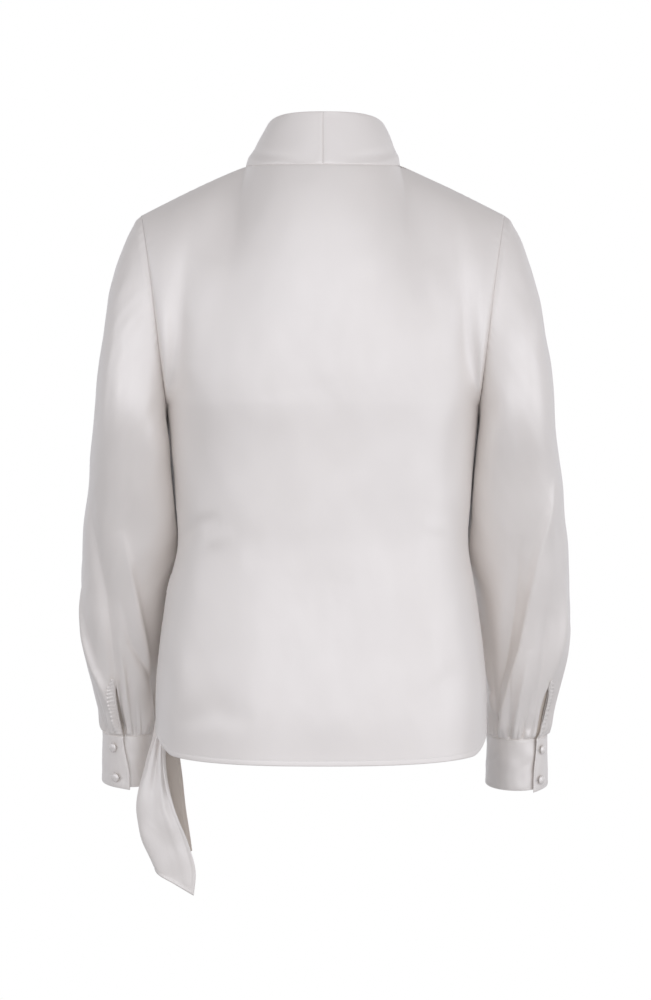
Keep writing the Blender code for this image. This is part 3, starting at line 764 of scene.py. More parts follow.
@dataclass(frozen=True)
class StitchRow:
    """A row of machine stitches sunk into cloth along a line.

    Attributes:
        pitch: Distance from one stitch to the next.
        length: Length of one stitch.
        radius: Thickness of the thread.
    """

    pitch: float = 0.0026
    length: float = 0.0019
    radius: float = 0.00016

    def points(self, line: Array, normal: Array) -> tuple[Array, Array]:
        """Stitches along a line, each a thin square tube tapered at both ends.

        Args:
            line: Points along the seam on the cloth's surface, as (n, 3).
            normal: Outward normals there.

        Returns:
            Points (stitches, 16, 3) and the quads of one stitch.
        """
        walked = np.concatenate([[0.0], np.cumsum(np.linalg.norm(np.diff(line, axis=0), axis=1))])
        starts = np.arange(self.pitch / 2, walked[-1] - self.pitch, self.pitch)
        stations = np.array([0.0, 0.18, 0.82, 1.0]) * self.length
        at = starts[:, None] + stations[None, :]
        place = np.stack([np.interp(at, walked, line[:, i]) for i in range(3)], axis=-1)
        up = np.stack([np.interp(at, walked, normal[:, i]) for i in range(3)], axis=-1)
        along = place[:, -1:] - place[:, :1]
        aside = np.cross(along, up)
        aside /= np.maximum(np.linalg.norm(aside, axis=-1, keepdims=True), 1e-12)
        high = np.array([-0.6, 0.55, 0.55, -0.6])[None, :, None] * self.radius
        thick = np.array([0.35, 1.0, 1.0, 0.35])[None, :, None] * self.radius
        centre = place + up * high
        ring = [centre + aside * thick, centre + up * thick, centre - aside * thick, centre - up * thick]
        points = np.stack(ring, axis=2).reshape(len(starts), 16, 3)
        index = np.arange(16).reshape(4, 4)
        closed = np.concatenate([index, index[:, :1]], axis=1)
        quads = np.concatenate([grid_quads(closed), [[3, 2, 1, 0], [12, 13, 14, 15]]])
        return points, quads

    def sew(self, name: str, runs: Sequence[tuple[Array, Array]], wardrobe: Wardrobe) -> bpy.types.Object:
        """Joins the stitches of several lines into one piece of thread.

        Args:
            name: Object name.
            runs: Pairs of line and normals.
            wardrobe: Where the thread's material comes from.

        Returns:
            The object.
        """
        all_points, all_faces, count = [], [], 0
        for line, normal in runs:
            points, quads = self.points(line, normal)
            offsets = count + 16 * np.arange(len(points))
            all_points.append(points.reshape(-1, 3))
            all_faces.append((quads[None] + offsets[:, None, None]).reshape(-1, 4))
            count += 16 * len(points)
        points, faces = np.concatenate(all_points), np.concatenate(all_faces)
        uv = np.zeros((len(faces), 4, 2))
        piece = new_piece(name, points, faces, uv, [wardrobe.thread])
        wardrobe.wear(piece)
        return piece


@dataclass
class BodyPanels:
    """The back and the two fronts, with their folds, seams and narrow stitched hems."""

    body: BodyForm
    wardrobe: Wardrobe
    hem_depth: float = 0.0050
    under_edge: float = -0.118
    knot_share: float = 0.64
    knot_level: float = 0.44
    wrap_edge: tuple[WrapEdge, ...] = (
        WrapEdge(0.00, 0.66),
        WrapEdge(0.25, 0.69),
        WrapEdge(0.44, 0.69),
        WrapEdge(0.60, 0.61),
        WrapEdge(0.80, 0.47),
        WrapEdge(1.00, 0.35),
        WrapEdge(1.50, 0.21),
        WrapEdge(2.00, 0.098),
    )
    back_creases: tuple[Crease, ...] = (
        Crease(((0.150, -0.215), (0.137, -0.290), (0.133, -0.360)), -0.0026, 0.014, 0.020),
        Crease(((0.163, -0.300), (0.152, -0.350), (0.140, -0.392)), -0.0016, 0.007, 0.010),
        Crease(((-0.158, -0.230), (-0.140, -0.292), (-0.128, -0.350)), -0.0022, 0.018, 0.013),
        Crease(((-0.150, -0.405), (-0.128, -0.378), (-0.100, -0.372)), 0.0014, 0.010, 0.008),
        Crease(((0.146, -0.420), (0.120, -0.392), (0.090, -0.384)), 0.0015, 0.008, 0.011),
        Crease(((0.152, -0.395), (0.128, -0.372), (0.105, -0.366)), -0.0012, 0.006, 0.006),
        Crease(((-0.086, -0.560), (-0.118, -0.545), (-0.150, -0.515)), -0.0024, 0.020, 0.014),
        Crease(((0.070, -0.575), (0.110, -0.566), (0.155, -0.580)), -0.0018, 0.016, 0.012),
        Crease(((0.160, -0.470), (0.150, -0.520), (0.146, -0.575)), 0.0018, 0.010, 0.016),
        Crease(((-0.110, -0.100), (-0.130, -0.150), (-0.136, -0.205)), 0.0016, 0.014, 0.018),
        Crease(((0.108, -0.098), (0.130, -0.150), (0.137, -0.205)), 0.0016, 0.018, 0.014),
        Crease(((0.020, -0.235), (0.006, -0.330), (0.012, -0.430)), 0.0014, 0.040, 0.050),
        Crease(((-0.060, -0.400), (-0.052, -0.480), (-0.066, -0.560)), 0.0012, 0.022, 0.028),
        Crease(((0.058, -0.410), (0.066, -0.490), (0.056, -0.570)), 0.0012, 0.026, 0.020),
    )
    front_creases: tuple[Crease, ...] = (
        Crease(((0.132, -0.438), (0.070, -0.410), (0.000, -0.402)), 0.0040, 0.007, 0.012, 0.5),
        Crease(((0.128, -0.428), (0.060, -0.372), (-0.030, -0.335)), 0.0048, 0.009, 0.014, 0.5),
        Crease(((0.124, -0.416), (0.066, -0.330), (0.000, -0.262)), 0.0046, 0.008, 0.014, 0.5),
        Crease(((0.126, -0.402), (0.092, -0.318), (0.048, -0.226)), 0.0040, 0.007, 0.012, 0.5),
        Crease(((0.130, -0.420), (0.064, -0.390), (-0.010, -0.372)), -0.0022, 0.006, 0.008, 0.5),
        Crease(((0.124, -0.420), (0.062, -0.352), (-0.016, -0.300)), -0.0024, 0.006, 0.009, 0.5),
        Crease(((0.120, -0.470), (0.070, -0.500), (0.020, -0.548)), 0.0034, 0.012, 0.009, 0.4),
        Crease(((0.128, -0.478), (0.104, -0.530), (0.088, -0.600)), 0.0036, 0.011, 0.009, 0.4, 0.4),
        Crease(((-0.150, -0.240), (-0.110, -0.290), (-0.060, -0.322)), 0.0024, 0.013, 0.018),
        Crease(((-0.150, -0.400), (-0.100, -0.392), (-0.040, -0.400)), 0.0022, 0.010, 0.014),
        Crease(((-0.120, -0.455), (-0.100, -0.530), (-0.106, -0.600)), 0.0022, 0.016, 0.020, 0.0, 0.4),
        Crease(((-0.090, -0.060), (-0.104, -0.130), (-0.098, -0.200)), 0.0018, 0.014, 0.018),
        Crease(((-0.040, -0.080), (-0.020, -0.140), (0.020, -0.200)), 0.0020, 0.012, 0.016),
    )
    hems: list[tuple[Array, Array]] = field(default_factory=list)
    armholes: dict[tuple[Side, Face], Array] = field(default_factory=dict)

    def edge_share(self, level: Array) -> Array:
        """Share at which the right front ends, at each level."""
        return column(self.wrap_edge, "share", level, "level")

    def hem_relief(self, up: Array) -> Array:
        """The narrow turned hem: a low step, and a groove where it is stitched."""
        step = 0.00035 * ease(self.hem_depth + 0.0008, self.hem_depth - 0.0004, up)
        return step - 0.00030 * np.exp(-(((up - self.hem_depth) / 0.0007) ** 2))

    def finish_panel(
        self,
        name: str,
        grid: Array,
        creases: Sequence[Crease],
        seed: int,
        free: Sequence[str],
    ) -> Array:
        """Adds folds, seams and hem to a panel's base surface, and makes its piece.

        Args:
            name: CAD node that the piece replaces.
            grid: Base surface as a (rows, columns, 3) array.
            creases: Folds in X and Z.
            seed: Fixes the fine unevenness.
            free: Which of the edges left and right are free edges, not seams.

        Returns:
            The finished surface.
        """
        across, up = run_along(grid, 1), run_along(grid, 0)
        from_right, from_left, from_top = across, across[:, -1:] - across, up[-1:] - up
        x, z = grid[..., 0], grid[..., 2]
        calm = ease(0, 0.03, np.minimum(np.minimum(from_right, from_left), from_top))
        calm = calm * (0.35 + 0.65 * ease(0, 0.05, up))
        relief = crease_lift(creases, x, z) * calm
        relief += calm * (0.00045 * soft_noise(x, 0.6 * z, 0.080, seed))
        relief += calm * (0.00014 * soft_noise(x, 0.6 * z, 0.026, seed + 1))
        relief += self.hem_relief(up)
        relief += 0.0009 * ease(0.045, 0, up) * soft_noise(across, 0 * up, 0.110, seed + 2)
        relief -= 0.0026 * ease(0.075, 0, up) * ease(0.075, 0, up)
        relief += seam_puckers(from_top, across, 0.00020, seed + 3)
        seam = from_top
        for edge, distance in (("right", from_right), ("left", from_left)):
            if edge in free:
                relief += self.hem_relief(distance)
            else:
                relief += seam_puckers(distance, up, 0.00024, seed + 4)
                seam = np.minimum(seam, distance)
        normal = cloth_normals(grid)
        facing = np.sum(normal[..., 1]) * (1 if name == "back" else -1) > 0
        surface = grid + normal * (1 if facing else -1) * relief[..., None]
        surface = surface + seam_dip(grid, seam, 0.0010)
        wardrobe = self.wardrobe
        piece = shell("satin_" + name, surface, facing, [wardrobe.face, wardrobe.reverse])
        wardrobe.wear(piece, [name])
        outer = surface + normal * (1 if facing else -1) * SATIN_SHELL / 2
        row = int(np.argmin(np.abs(up[:, up.shape[1] // 2] - self.hem_depth)))
        self.hems.append((outer[row, 3:-3], normal[row, 3:-3] * (1 if facing else -1)))
        for edge, line in (("right", 5), ("left", -6)):
            if edge in free:
                self.hems.append((outer[5:-3, line], normal[5:-3, line] * (1 if facing else -1)))
        return surface

    def build(self) -> None:
        """Builds the three panels and the stitching of their hems."""
        hem_rows = np.linspace(0, 0.02, 8)[:-1]
        levels = np.concatenate([hem_rows, np.linspace(0.02, 1, 84), np.linspace(1, 2, 92)[1:]])
        shares = np.linspace(-1, 1, 157)
        grid = self.body.point(shares[None, :], levels[:, None], Face.BACK)
        panel = self.finish_panel("back", grid, self.back_creases, 11, ())
        self.armholes[Side.RIGHT, Face.BACK] = panel[levels >= 1, 0]
        self.armholes[Side.LEFT, Face.BACK] = panel[levels >= 1, -1]

        levels = np.concatenate([hem_rows, np.linspace(0.02, 1, 80), np.linspace(1, 2, 80)[1:]])
        shares = np.linspace(self.under_edge, 1, 96)
        grid = self.body.point(shares[None, :], levels[:, None], Face.FRONT)
        panel = self.finish_panel("front_left", grid, (), 23, ("right",))
        self.armholes[Side.LEFT, Face.FRONT] = panel[levels >= 1, -1]

        across = np.linspace(0, 1, 136)[None, :]
        share = -1 + across * (self.edge_share(levels)[:, None] + 1)
        level = np.broadcast_to(levels[:, None], share.shape)
        lift = WRAP_LIFT * ease(-0.55, -0.2, share)
        grid = self.body.lifted(share, level, lift)
        creases = self.front_creases
        panel = self.finish_panel("front_right", grid, creases, 37, ("left",))
        self.armholes[Side.RIGHT, Face.FRONT] = panel[levels >= 1, 0]
        StitchRow().sew("hem_stitches", self.hems, self.wardrobe)


# ---------------------------------------------------------------- collar


@dataclass(frozen=True)
class CollarHalf:
    """One half of the collar: its side, size at the top, where it ends, and how it laps."""

    side: Side
    top_half_width: float
    end_angle: float
    lap_lift: float
    front_lift: float


@dataclass
class Collar:
    """The high collar: two doubled halves joined at the back's centre."""

    body: BodyForm
    wardrobe: Wardrobe
    top_y: float = -0.013
    top_depth: float = 0.052
    back_z: float = 0.0550
    side_z: float = 0.0385
    front_z: float = -0.0080
    wall: float = 0.0016
    halves: tuple[CollarHalf, ...] = (
        CollarHalf(Side.LEFT, 0.0590, 210.0, 0.0, 0.0010),
        CollarHalf(Side.RIGHT, 0.0655, 205.0, 0.0026, 0.0018),
    )

    def middle(self, half: CollarHalf, angle: Array, rise: Array) -> Array:
        """Middle surface: straight lines from the neck seam up to a smaller tilted ellipse.

        Args:
            half: The collar half.
            angle: From the back's centre round to the front and past it.
            rise: From the seam (0) to the top edge (1).

        Returns:
            Points as (..., 3), on the half's own side.
        """
        base = self.body.neck(angle)
        front = ease(math.radians(60), math.radians(120), angle)
        base[..., 2] += 0.0002 + half.front_lift * front
        along = np.cos(angle)
        slope = (self.back_z - self.front_z) / 2
        bend = (self.back_z + self.front_z) / 2 - self.side_z
        height = self.side_z + slope * along + bend * along**2
        top = np.stack(
            [half.top_half_width * np.sin(angle), self.top_y + self.top_depth * along, height], axis=-1
        )
        out = np.stack([np.sin(angle), along, 0 * angle], axis=-1)
        lift = half.lap_lift * ease(math.radians(100), math.radians(145), angle)
        bow = np.sin(math.pi * np.clip(rise, 0, 1)) * ease(math.radians(20), math.radians(80), angle)
        lift = lift + 0.0016 * bow
        return base + (top - base) * rise[..., None] + out * lift[..., None]

    def build(self) -> None:
        """Builds both halves, with the pressed seam at the back and soft drag lines."""
        for half in self.halves:
            right = half.side is Side.RIGHT
            angles = np.radians(half.end_angle) * edge_spacing(120, 0.26, 0.0012)
            rises = 1.035 * edge_spacing(26, 0.058, 0.0012) - 0.035
            angle, rise = np.meshgrid(angles, rises)
            grid = self.middle(half, angle, rise) * np.array([half.side.value, 1, 1])
            across, up = run_along(grid, 1), run_along(grid, 0)
            allowance = 0.0042 + 0.0030 * ease(0.45, 0.0, rise)
            slack = 0.00030 * ease(allowance + 0.0006, allowance - 0.0002, across)
            slack = slack - 0.0010 * np.exp(-((across / 0.0011) ** 2))
            slack += 0.00022 * soft_noise(across, up, 0.050, 51 + right)
            slack += crease_lift(
                (
                    Crease(((0.020, 0.006), (0.070, 0.012), (0.120, 0.030)), -0.0007, 0.005, 0.006),
                    Crease(((0.060, 0.004), (0.095, 0.008), (0.140, 0.014)), 0.0009, 0.004, 0.005),
                    Crease(((0.080, 0.040), (0.130, 0.028), (0.190, 0.026)), 0.0008, 0.007, 0.006),
                ),
                across,
                up,
            )
            outward = float(np.sum(cloth_normals(grid)[..., 1] * (angle < 1.2))) > 0
            piece = doubled_band(
                "satin_collar_" + half.side.word, grid, self.wall, 0.0012, [self.wardrobe.face], outward, slack
            )
            self.wardrobe.wear(piece, ["collar_" + half.side.word])


# ---------------------------------------------------------------- sleeves and cuffs


@dataclass(frozen=True)
class Tube:
    """A ring of the sleeve: outer and inner reach, centre and half depth at a height."""

    height: float
    outer: float
    inner: float
    centre_y: float
    half_depth: float


DEGREE = 0.0008


def arm_path(*stops: tuple[float, float]) -> tuple[tuple[float, float], ...]:
    """A crease's line on a sleeve from angles in degrees and heights, as metres of cloth."""
    return tuple((angle * DEGREE, height) for angle, height in stops)


@dataclass(frozen=True)
class Arm:
    """One arm's own measures and long folds.

    Attributes:
        side: Left or right.
        spread: How much wider its sleeve stands.
        raised: How much higher its cuff sits.
        slit_angle: Angle of the slit in degrees from the outer side.
        slit_gap: How far the slit gapes.
        flap_slant: Degrees by which the cuff's lapped edge slants on its way down.
        button_turn: Turns from the lapped edge to the buttons.
        creases: Long folds, by angle and height.
        seed: Fixes its fine unevenness.
    """

    side: Side
    spread: float
    raised: float
    slit_angle: float
    slit_gap: float
    flap_slant: float
    button_turn: float
    creases: tuple[Crease, ...]
    seed: int


RIGHT_CREASES = (
    Crease(arm_path((40, -0.325), (58, -0.375), (72, -0.412), (87, -0.459), (100, -0.506), (111, -0.532),
                    (121, -0.566), (124, -0.600)), 0.0088, 0.0034, 0.0170, 0.0, 0.8, 1.35),
    Crease(arm_path((84, -0.385), (101, -0.450), (116, -0.503), (128, -0.540), (136, -0.585)),
           -0.0058, 0.0080, 0.0050, 0.0, 0.6, 1.6),
    Crease(arm_path((166, -0.430), (160, -0.500), (150, -0.540), (141, -0.566)), 0.0058, 0.0080, 0.0060, crisp=1.5),
    Crease(arm_path((150, -0.552), (143, -0.567), (136, -0.580)), 0.0040, 0.0060, 0.0060),
    Crease(arm_path((36, -0.330), (39, -0.400), (47, -0.465)), -0.0032, 0.0110, 0.0120),
    Crease(arm_path((62, -0.460), (68, -0.520), (72, -0.590)), -0.0044, 0.0060, 0.0090, 0.0, 0.6, 1.6),
    Crease(arm_path((24, -0.430), (38, -0.500), (50, -0.545)), 0.0036, 0.0060, 0.0120, 0.0, 0.2, 1.6),
    Crease(arm_path((88, -0.505), (96, -0.555), (99, -0.600)), 0.0040, 0.0045, 0.0060, 0.0, 0.8, 1.4),
    Crease(arm_path((20, -0.470), (24, -0.540), (28, -0.600)), 0.0040, 0.0060, 0.0090, 0.0, 0.5, 1.6),
    Crease(arm_path((200, -0.400), (206, -0.480), (214, -0.560)), -0.0030, 0.0100, 0.0080, 0.0, 0.4),
    Crease(arm_path((232, -0.420), (244, -0.510), (250, -0.600)), 0.0060, 0.0050, 0.0130, 0.0, 0.7, 1.4),
    Crease(arm_path((272, -0.380), (288, -0.480), (296, -0.600)), 0.0062, 0.0050, 0.0140, 0.0, 0.7, 1.4),
    Crease(arm_path((310, -0.430), (326, -0.520), (334, -0.600)), 0.0056, 0.0050, 0.0120, 0.0, 0.7, 1.4),
    Crease(arm_path((344, -0.360), (356, -0.440), (364, -0.520)), 0.0030, 0.0100, 0.0120),
)
LEFT_CREASES = (
    Crease(arm_path((30, -0.340), (50, -0.400), (66, -0.450), (76, -0.500), (80, -0.556), (78, -0.600)),
           -0.0060, 0.0110, 0.0060, 0.0, 0.8, 1.6),
    Crease(arm_path((18, -0.440), (34, -0.495), (48, -0.530), (60, -0.552), (66, -0.575), (68, -0.600)),
           0.0078, 0.0036, 0.0130, 0.0, 0.8, 1.35),
    Crease(arm_path((78, -0.380), (90, -0.410), (107, -0.454), (122, -0.500), (134, -0.540), (142, -0.600)),
           0.0064, 0.0036, 0.0150, 0.0, 0.8, 1.35),
    Crease(arm_path((86, -0.450), (104, -0.500), (128, -0.530), (146, -0.560), (152, -0.600)),
           -0.0048, 0.0060, 0.0050, 0.0, 0.7, 1.5),
    Crease(arm_path((86, -0.490), (94, -0.540), (98, -0.600)), 0.0044, 0.0040, 0.0080, 0.0, 0.8, 1.4),
    Crease(arm_path((150, -0.400), (160, -0.470), (168, -0.540), (170, -0.600)), 0.0052, 0.0050, 0.0110, 0.0, 0.7, 1.5),
    Crease(arm_path((4, -0.420), (14, -0.490), (26, -0.570)), -0.0036, 0.0090, 0.0090),
    Crease(arm_path((204, -0.420), (214, -0.510), (222, -0.600)), 0.0056, 0.0050, 0.0120, 0.0, 0.7, 1.4),
    Crease(arm_path((250, -0.390), (262, -0.480), (268, -0.600)), 0.0060, 0.0050, 0.0130, 0.0, 0.7, 1.4),
    Crease(arm_path((292, -0.430), (302, -0.510), (306, -0.600)), 0.0054, 0.0050, 0.0120, 0.0, 0.7, 1.4),
    Crease(arm_path((330, -0.380), (344, -0.460), (352, -0.560)), 0.0040, 0.0070, 0.0120, crisp=1.6),
)
ARMS = (
    Arm(Side.LEFT, -0.0028, 0.0040, 77.0, 0.0012, 13.0, 0.060, LEFT_CREASES, 71),
    Arm(Side.RIGHT, 0.0010, 0.0, 52.0, 0.0034, 8.0, 0.036, RIGHT_CREASES, 83),
)


@dataclass
class SleeveForm:
    """The bishop sleeve: a set-in cap, a full tube, and gathers into a buttoned cuff."""

    panels: BodyPanels
    body: BodyForm
    wardrobe: Wardrobe
    cuff_top: float = -0.6004
    cuff_height: float = 0.055
    cuff_tilt: float = 0.12
    cuff_lean: float = 0.12
    cuff_flare: float = 0.02
    cuff_wall: float = 0.0018
    cuff_spiral: float = 0.0017
    overlap: float = 0.115
    slit_rise: float = 0.056
    binding_width: float = 0.0080
    underlap_tuck: float = 0.0047
    square: float = 2.5
    fine_gathers: int = 27
    broad_gathers: int = 10
    button_radius: float = 0.0050
    button_dome: float = 0.0036
    button_drops: tuple[float, float] = (0.0125, 0.0440)
    rings: tuple[Tube, ...] = (
        Tube(-0.600, 0.2390, 0.1775, -0.109, 0.040),
        Tube(-0.575, 0.2462, 0.1770, -0.106, 0.046),
        Tube(-0.540, 0.2545, 0.1750, -0.100, 0.055),
        Tube(-0.495, 0.2600, 0.1700, -0.090, 0.060),
        Tube(-0.445, 0.2608, 0.1620, -0.076, 0.061),
        Tube(-0.392, 0.2586, 0.1480, -0.058, 0.062),
        Tube(-0.345, 0.2530, 0.1500, -0.042, 0.064),
        Tube(-0.300, 0.2475, 0.1560, -0.026, 0.066),
    )

    def ring(self, angle: Array, height: Array, arm: Arm) -> Array:
        """Ring of the sleeve: a superellipse kept clear of the body, tilted near the cuff.

        Args:
            angle: 0 at the outer side, a quarter turn at the back.
            height: Height of the ring.
            arm: The arm.

        Returns:
            Points as (..., 3), for a left arm.
        """
        outer = column(self.rings, "outer", height, "height") + arm.spread
        inner = column(self.rings, "inner", height, "height")
        depth = column(self.rings, "half_depth", height, "height")
        middle = column(self.rings, "centre_y", height, "height")
        tilt = self.cuff_tilt * ease(-0.45, -0.60, height)
        power = 2 + (self.square - 2) * ease(-0.60, -0.50, height)
        full = (np.abs(np.cos(angle)) ** power + np.abs(np.sin(angle)) ** power) ** (-1 / power)
        x = (outer + inner) / 2 + (outer - inner) / 2 * full * np.cos(angle)
        y = middle + depth * full * np.sin(angle)
        x = np.maximum(x, self.body.reach(y, height) + 0.0023 + 0.0030 * ease(-0.025, -0.050, y))
        z = height - tilt * depth * np.sin(angle)
        return np.stack(np.broadcast_arrays(x, y, z), axis=-1)

    def armhole(self, turn: Array, arm: Arm) -> Array:
        """Armhole seam of the finished panels: down the back from the tip (0), up the front from 0.5.

        Args:
            turn: Share of the way round.
            arm: The arm.

        Returns:
            Points as (..., 3), for a left arm.
        """
        back = self.panels.armholes[arm.side, Face.BACK][::-1]
        front = self.panels.armholes[arm.side, Face.FRONT]
        line = np.concatenate([back, front[1:]]) * np.array([arm.side.value, 1, 1])
        halves = np.linspace(0, 0.5, len(back)), np.linspace(0.5, 1, len(front))[1:]
        turns = np.concatenate(halves)
        return np.stack([np.interp(np.mod(turn, 1.0), turns, line[:, i]) for i in range(3)], axis=-1)

    def cap(self, angle: Array, level: Array, arm: Arm) -> Array:
        """Cap of the sleeve: in each column a Bezier curve from its first full ring to the armhole.

        Args:
            angle: Angle round the sleeve.
            level: From the armhole (0) to the ring (1).
            arm: The arm.

        Returns:
            Points as (..., 3), for a left arm.
        """
        turn = np.mod(angle / (2 * math.pi), 1.0)
        low = (1 - np.cos(angle)) / 2
        seam = self.armhole(turn, arm)
        height = self.rings[-1].height
        ring = self.ring(angle, height + 0 * angle, arm)
        slope = (ring - self.ring(angle, height - 0.002 + 0 * angle, arm)) / 0.002
        drop = (seam[..., 2] - ring[..., 2])[..., None]
        aside = np.abs(np.sin(angle))
        direction = np.stack(
            [0.74 + 0.14 * aside - 0.62 * low, 0.25 * np.sin(angle), -0.72 + 0.14 * aside - 0.24 * low],
            axis=-1,
        )
        direction /= np.linalg.norm(direction, axis=-1, keepdims=True)
        reach = 0.205 + 0.095 * np.maximum(aside, low)
        first = seam + direction * drop * reach[..., None]
        return bezier(seam, first, ring + slope * 0.36 * drop, ring, level[..., None])

    def gather_lift(self, angle: Array, rise: Array, arm: Arm) -> Array:
        """Gathers above the cuff: round lumps between sharp valleys, in two sizes.

        Each lump is 0.45 - u^2 across, with u from -1 to 1 between its two valleys, and fades
        upwards over a reach of its own. The valleys lean by a smooth function of the angle.

        Args:
            angle: Angle round the sleeve.
            rise: Distance above the cuff.
            arm: The arm, whose seed fixes the unevenness.

        Returns:
            Height over the sleeve.
        """
        rng = np.random.default_rng(arm.seed)
        full = 2 * math.pi
        total = np.zeros(np.broadcast(angle, rise).shape)
        lean = 1.6 * np.sin(angle + 0.8) + 1.4 * np.sin(3 * angle + 0.3)
        turned = np.mod(angle - lean * rise, full)
        for count, low, high, near, far in (
            (self.fine_gathers, 0.0026, 0.0044, 0.022, 0.055),
            (self.broad_gathers, 0.0034, 0.0068, 0.060, 0.120),
        ):
            valleys = (np.arange(count) + rng.uniform(-0.32, 0.32, count)) * full / count
            valleys = np.concatenate([valleys, valleys[:1] + full])
            heights, reaches = rng.uniform(low, high, count), rng.uniform(near, far, count)
            place = np.where(turned < valleys[0], turned + full, turned)
            cell = np.clip(np.searchsorted(valleys, place, side="right") - 1, 0, count - 1)
            u = 2 * (place - valleys[cell]) / (valleys[cell + 1] - valleys[cell]) - 1
            fade = np.clip(1 - rise / reaches[cell], 0, 1) ** 1.5
            total += heights[cell] * (0.45 - u * u) * fade
        return total * ease(-0.0005, 0.003, rise)

    def seat(self, share: Array, rise: Array) -> Array:
        """How far out the sleeve starts to follow the spiral of the cuff, fading above it.

        Args:
            share: Share of the way round the sleeve.
            rise: Height above the cuff.

        Returns:
            Distance along the outward direction.
        """
        spiral = self.cuff_spiral * (1 - 2 * ease(0.10, 1 + self.overlap - 0.14, 1 - share))
        return spiral * ease(0.030, 0, rise)

    def slit_shift(self, share: Array, rise: Array, arm: Arm) -> Array:
        """How far the slit's two edges stand apart, as an angle that fades away from the slit.

        Args:
            share: Share of the way round the sleeve.
            rise: Height above the cuff.
            arm: The arm.

        Returns:
            Angles, above 0 at the near edge and below it at the far one.
        """
        along = np.clip(rise / self.slit_rise, 0, 1)
        gape = (0.12 + np.sin(math.pi * along) ** 0.9) * ease(1.0, 0.90, along)
        open_angle = arm.slit_gap / 0.036 * gape
        return open_angle * (np.exp(-share / 0.035) - np.exp(-(1 - share) / 0.035))

    def surface(self, share: Array, rise: Array, arm: Arm) -> Array:
        """Sleeve between cuff and first full ring, for a left arm, from slit (0) round to slit (1).

        Args:
            share: Share of the way round from one edge of the slit to the other.
            rise: Height above the cuff.
            arm: The arm.

        Returns:
            Points as (..., 3).
        """
        angle = math.radians(arm.slit_angle) + 2 * math.pi * share + self.slit_shift(share, rise, arm)
        grid = self.ring(angle, self.cuff_top + rise, arm)
        lift = self.relief(angle, self.cuff_top + rise, arm) + self.seat(share, rise)
        grid[..., 2] += arm.raised * ease(0.16, 0, rise)
        out = np.stack(np.broadcast_arrays(np.cos(angle), np.sin(angle), 0 * lift), axis=-1)
        return grid + out * lift[..., None]

    def relief(self, angle: Array, height: Array, arm: Arm) -> Array:
        """Height of folds, gathers and fine unevenness at an angle and height."""
        degrees = np.mod(np.degrees(angle), 360)
        rise = height - self.cuff_top
        near_cuff = ease(0.0, 0.014, rise)
        lift = np.zeros(np.broadcast(angle, height).shape)
        for turn in (-360, 0, 360):
            lift = lift + crease_lift(arm.creases, (degrees + turn) * DEGREE, height)
        lift = lift * near_cuff
        lift += self.gather_lift(angle, rise, arm)
        across = np.cos(angle) * 0.05, np.sin(angle) * 0.05
        fine = 0.0009 * soft_noise(across[0] + across[1], height + across[1], 0.070, arm.seed + 1)
        fine += 0.0002 * soft_noise(across[0] - across[1], height * 0.6 + across[0], 0.024, arm.seed + 2)
        lift += fine * near_cuff
        inner = ease(-0.2, -0.9, np.cos(angle)) * ease(-0.50, -0.44, height)
        return np.where(lift < 0, lift, lift * (1 - 0.8 * inner))

    def build_sleeve(self, arm: Arm) -> None:
        """Builds one sleeve as a tube that is open along its slit."""
        tucked, top = [-0.0035, -0.0020, -0.0010], self.rings[-1].height - self.cuff_top
        above = np.linspace(0.030, 0.100, 48)[1:], np.linspace(0.100, top, 84)[1:]
        rises = np.concatenate([tucked, np.linspace(0, 0.030, 28), *above])
        columns = 204
        share, rise = np.meshgrid(np.linspace(0, 1, columns + 1), rises)
        tube = self.surface(share, rise, arm)
        angles = math.radians(arm.slit_angle) + 2 * math.pi * np.linspace(0, 1, columns + 1)
        levels = np.concatenate([np.linspace(1, 0.06, 46)[1:], [0.045, 0.030, 0.018, 0.009, 0.003, 0.0]])
        angle, level = np.meshgrid(angles, levels)
        cap = self.cap(angle, level, arm)
        normal = cloth_normals(np.concatenate([tube[-1:], cap]))[1:]
        outward = np.sign(np.sum(normal * np.stack([np.cos(angle), np.sin(angle), 0 * angle], axis=-1)))
        seam = run_along(cap, 0)
        from_seam = seam[-1:] - seam
        along = run_along(cap, 1)[-1:]
        lift = self.relief(angle, cap[..., 2], arm) * ease(0, 0.05, from_seam)
        lift += seam_puckers(from_seam, along + 0 * from_seam, 0.00024, arm.seed + 5)
        lift += 0.0012 * np.exp(-(((from_seam - 0.007) / 0.005) ** 2)) * ease(-0.2, 0.8, np.cos(angle))
        cap = cap + normal * outward * lift[..., None]
        grid = np.concatenate([tube, cap]) * np.array([arm.side.value, 1, 1])
        weld = int(np.sum(rises < self.slit_rise))
        reach = grid[:, :1].copy()
        grid[weld:, -1:] = reach[weld:]
        middle = grid[20:60]
        check = cloth_normals(middle) * (middle - middle.mean(axis=1, keepdims=True))
        facing = float(check.sum()) > 0
        name = "sleeve_" + arm.side.word
        piece = shell(
            "satin_" + name, grid, facing, [self.wardrobe.face, self.wardrobe.reverse], weld_from=weld
        )
        self.wardrobe.wear(piece, [name])

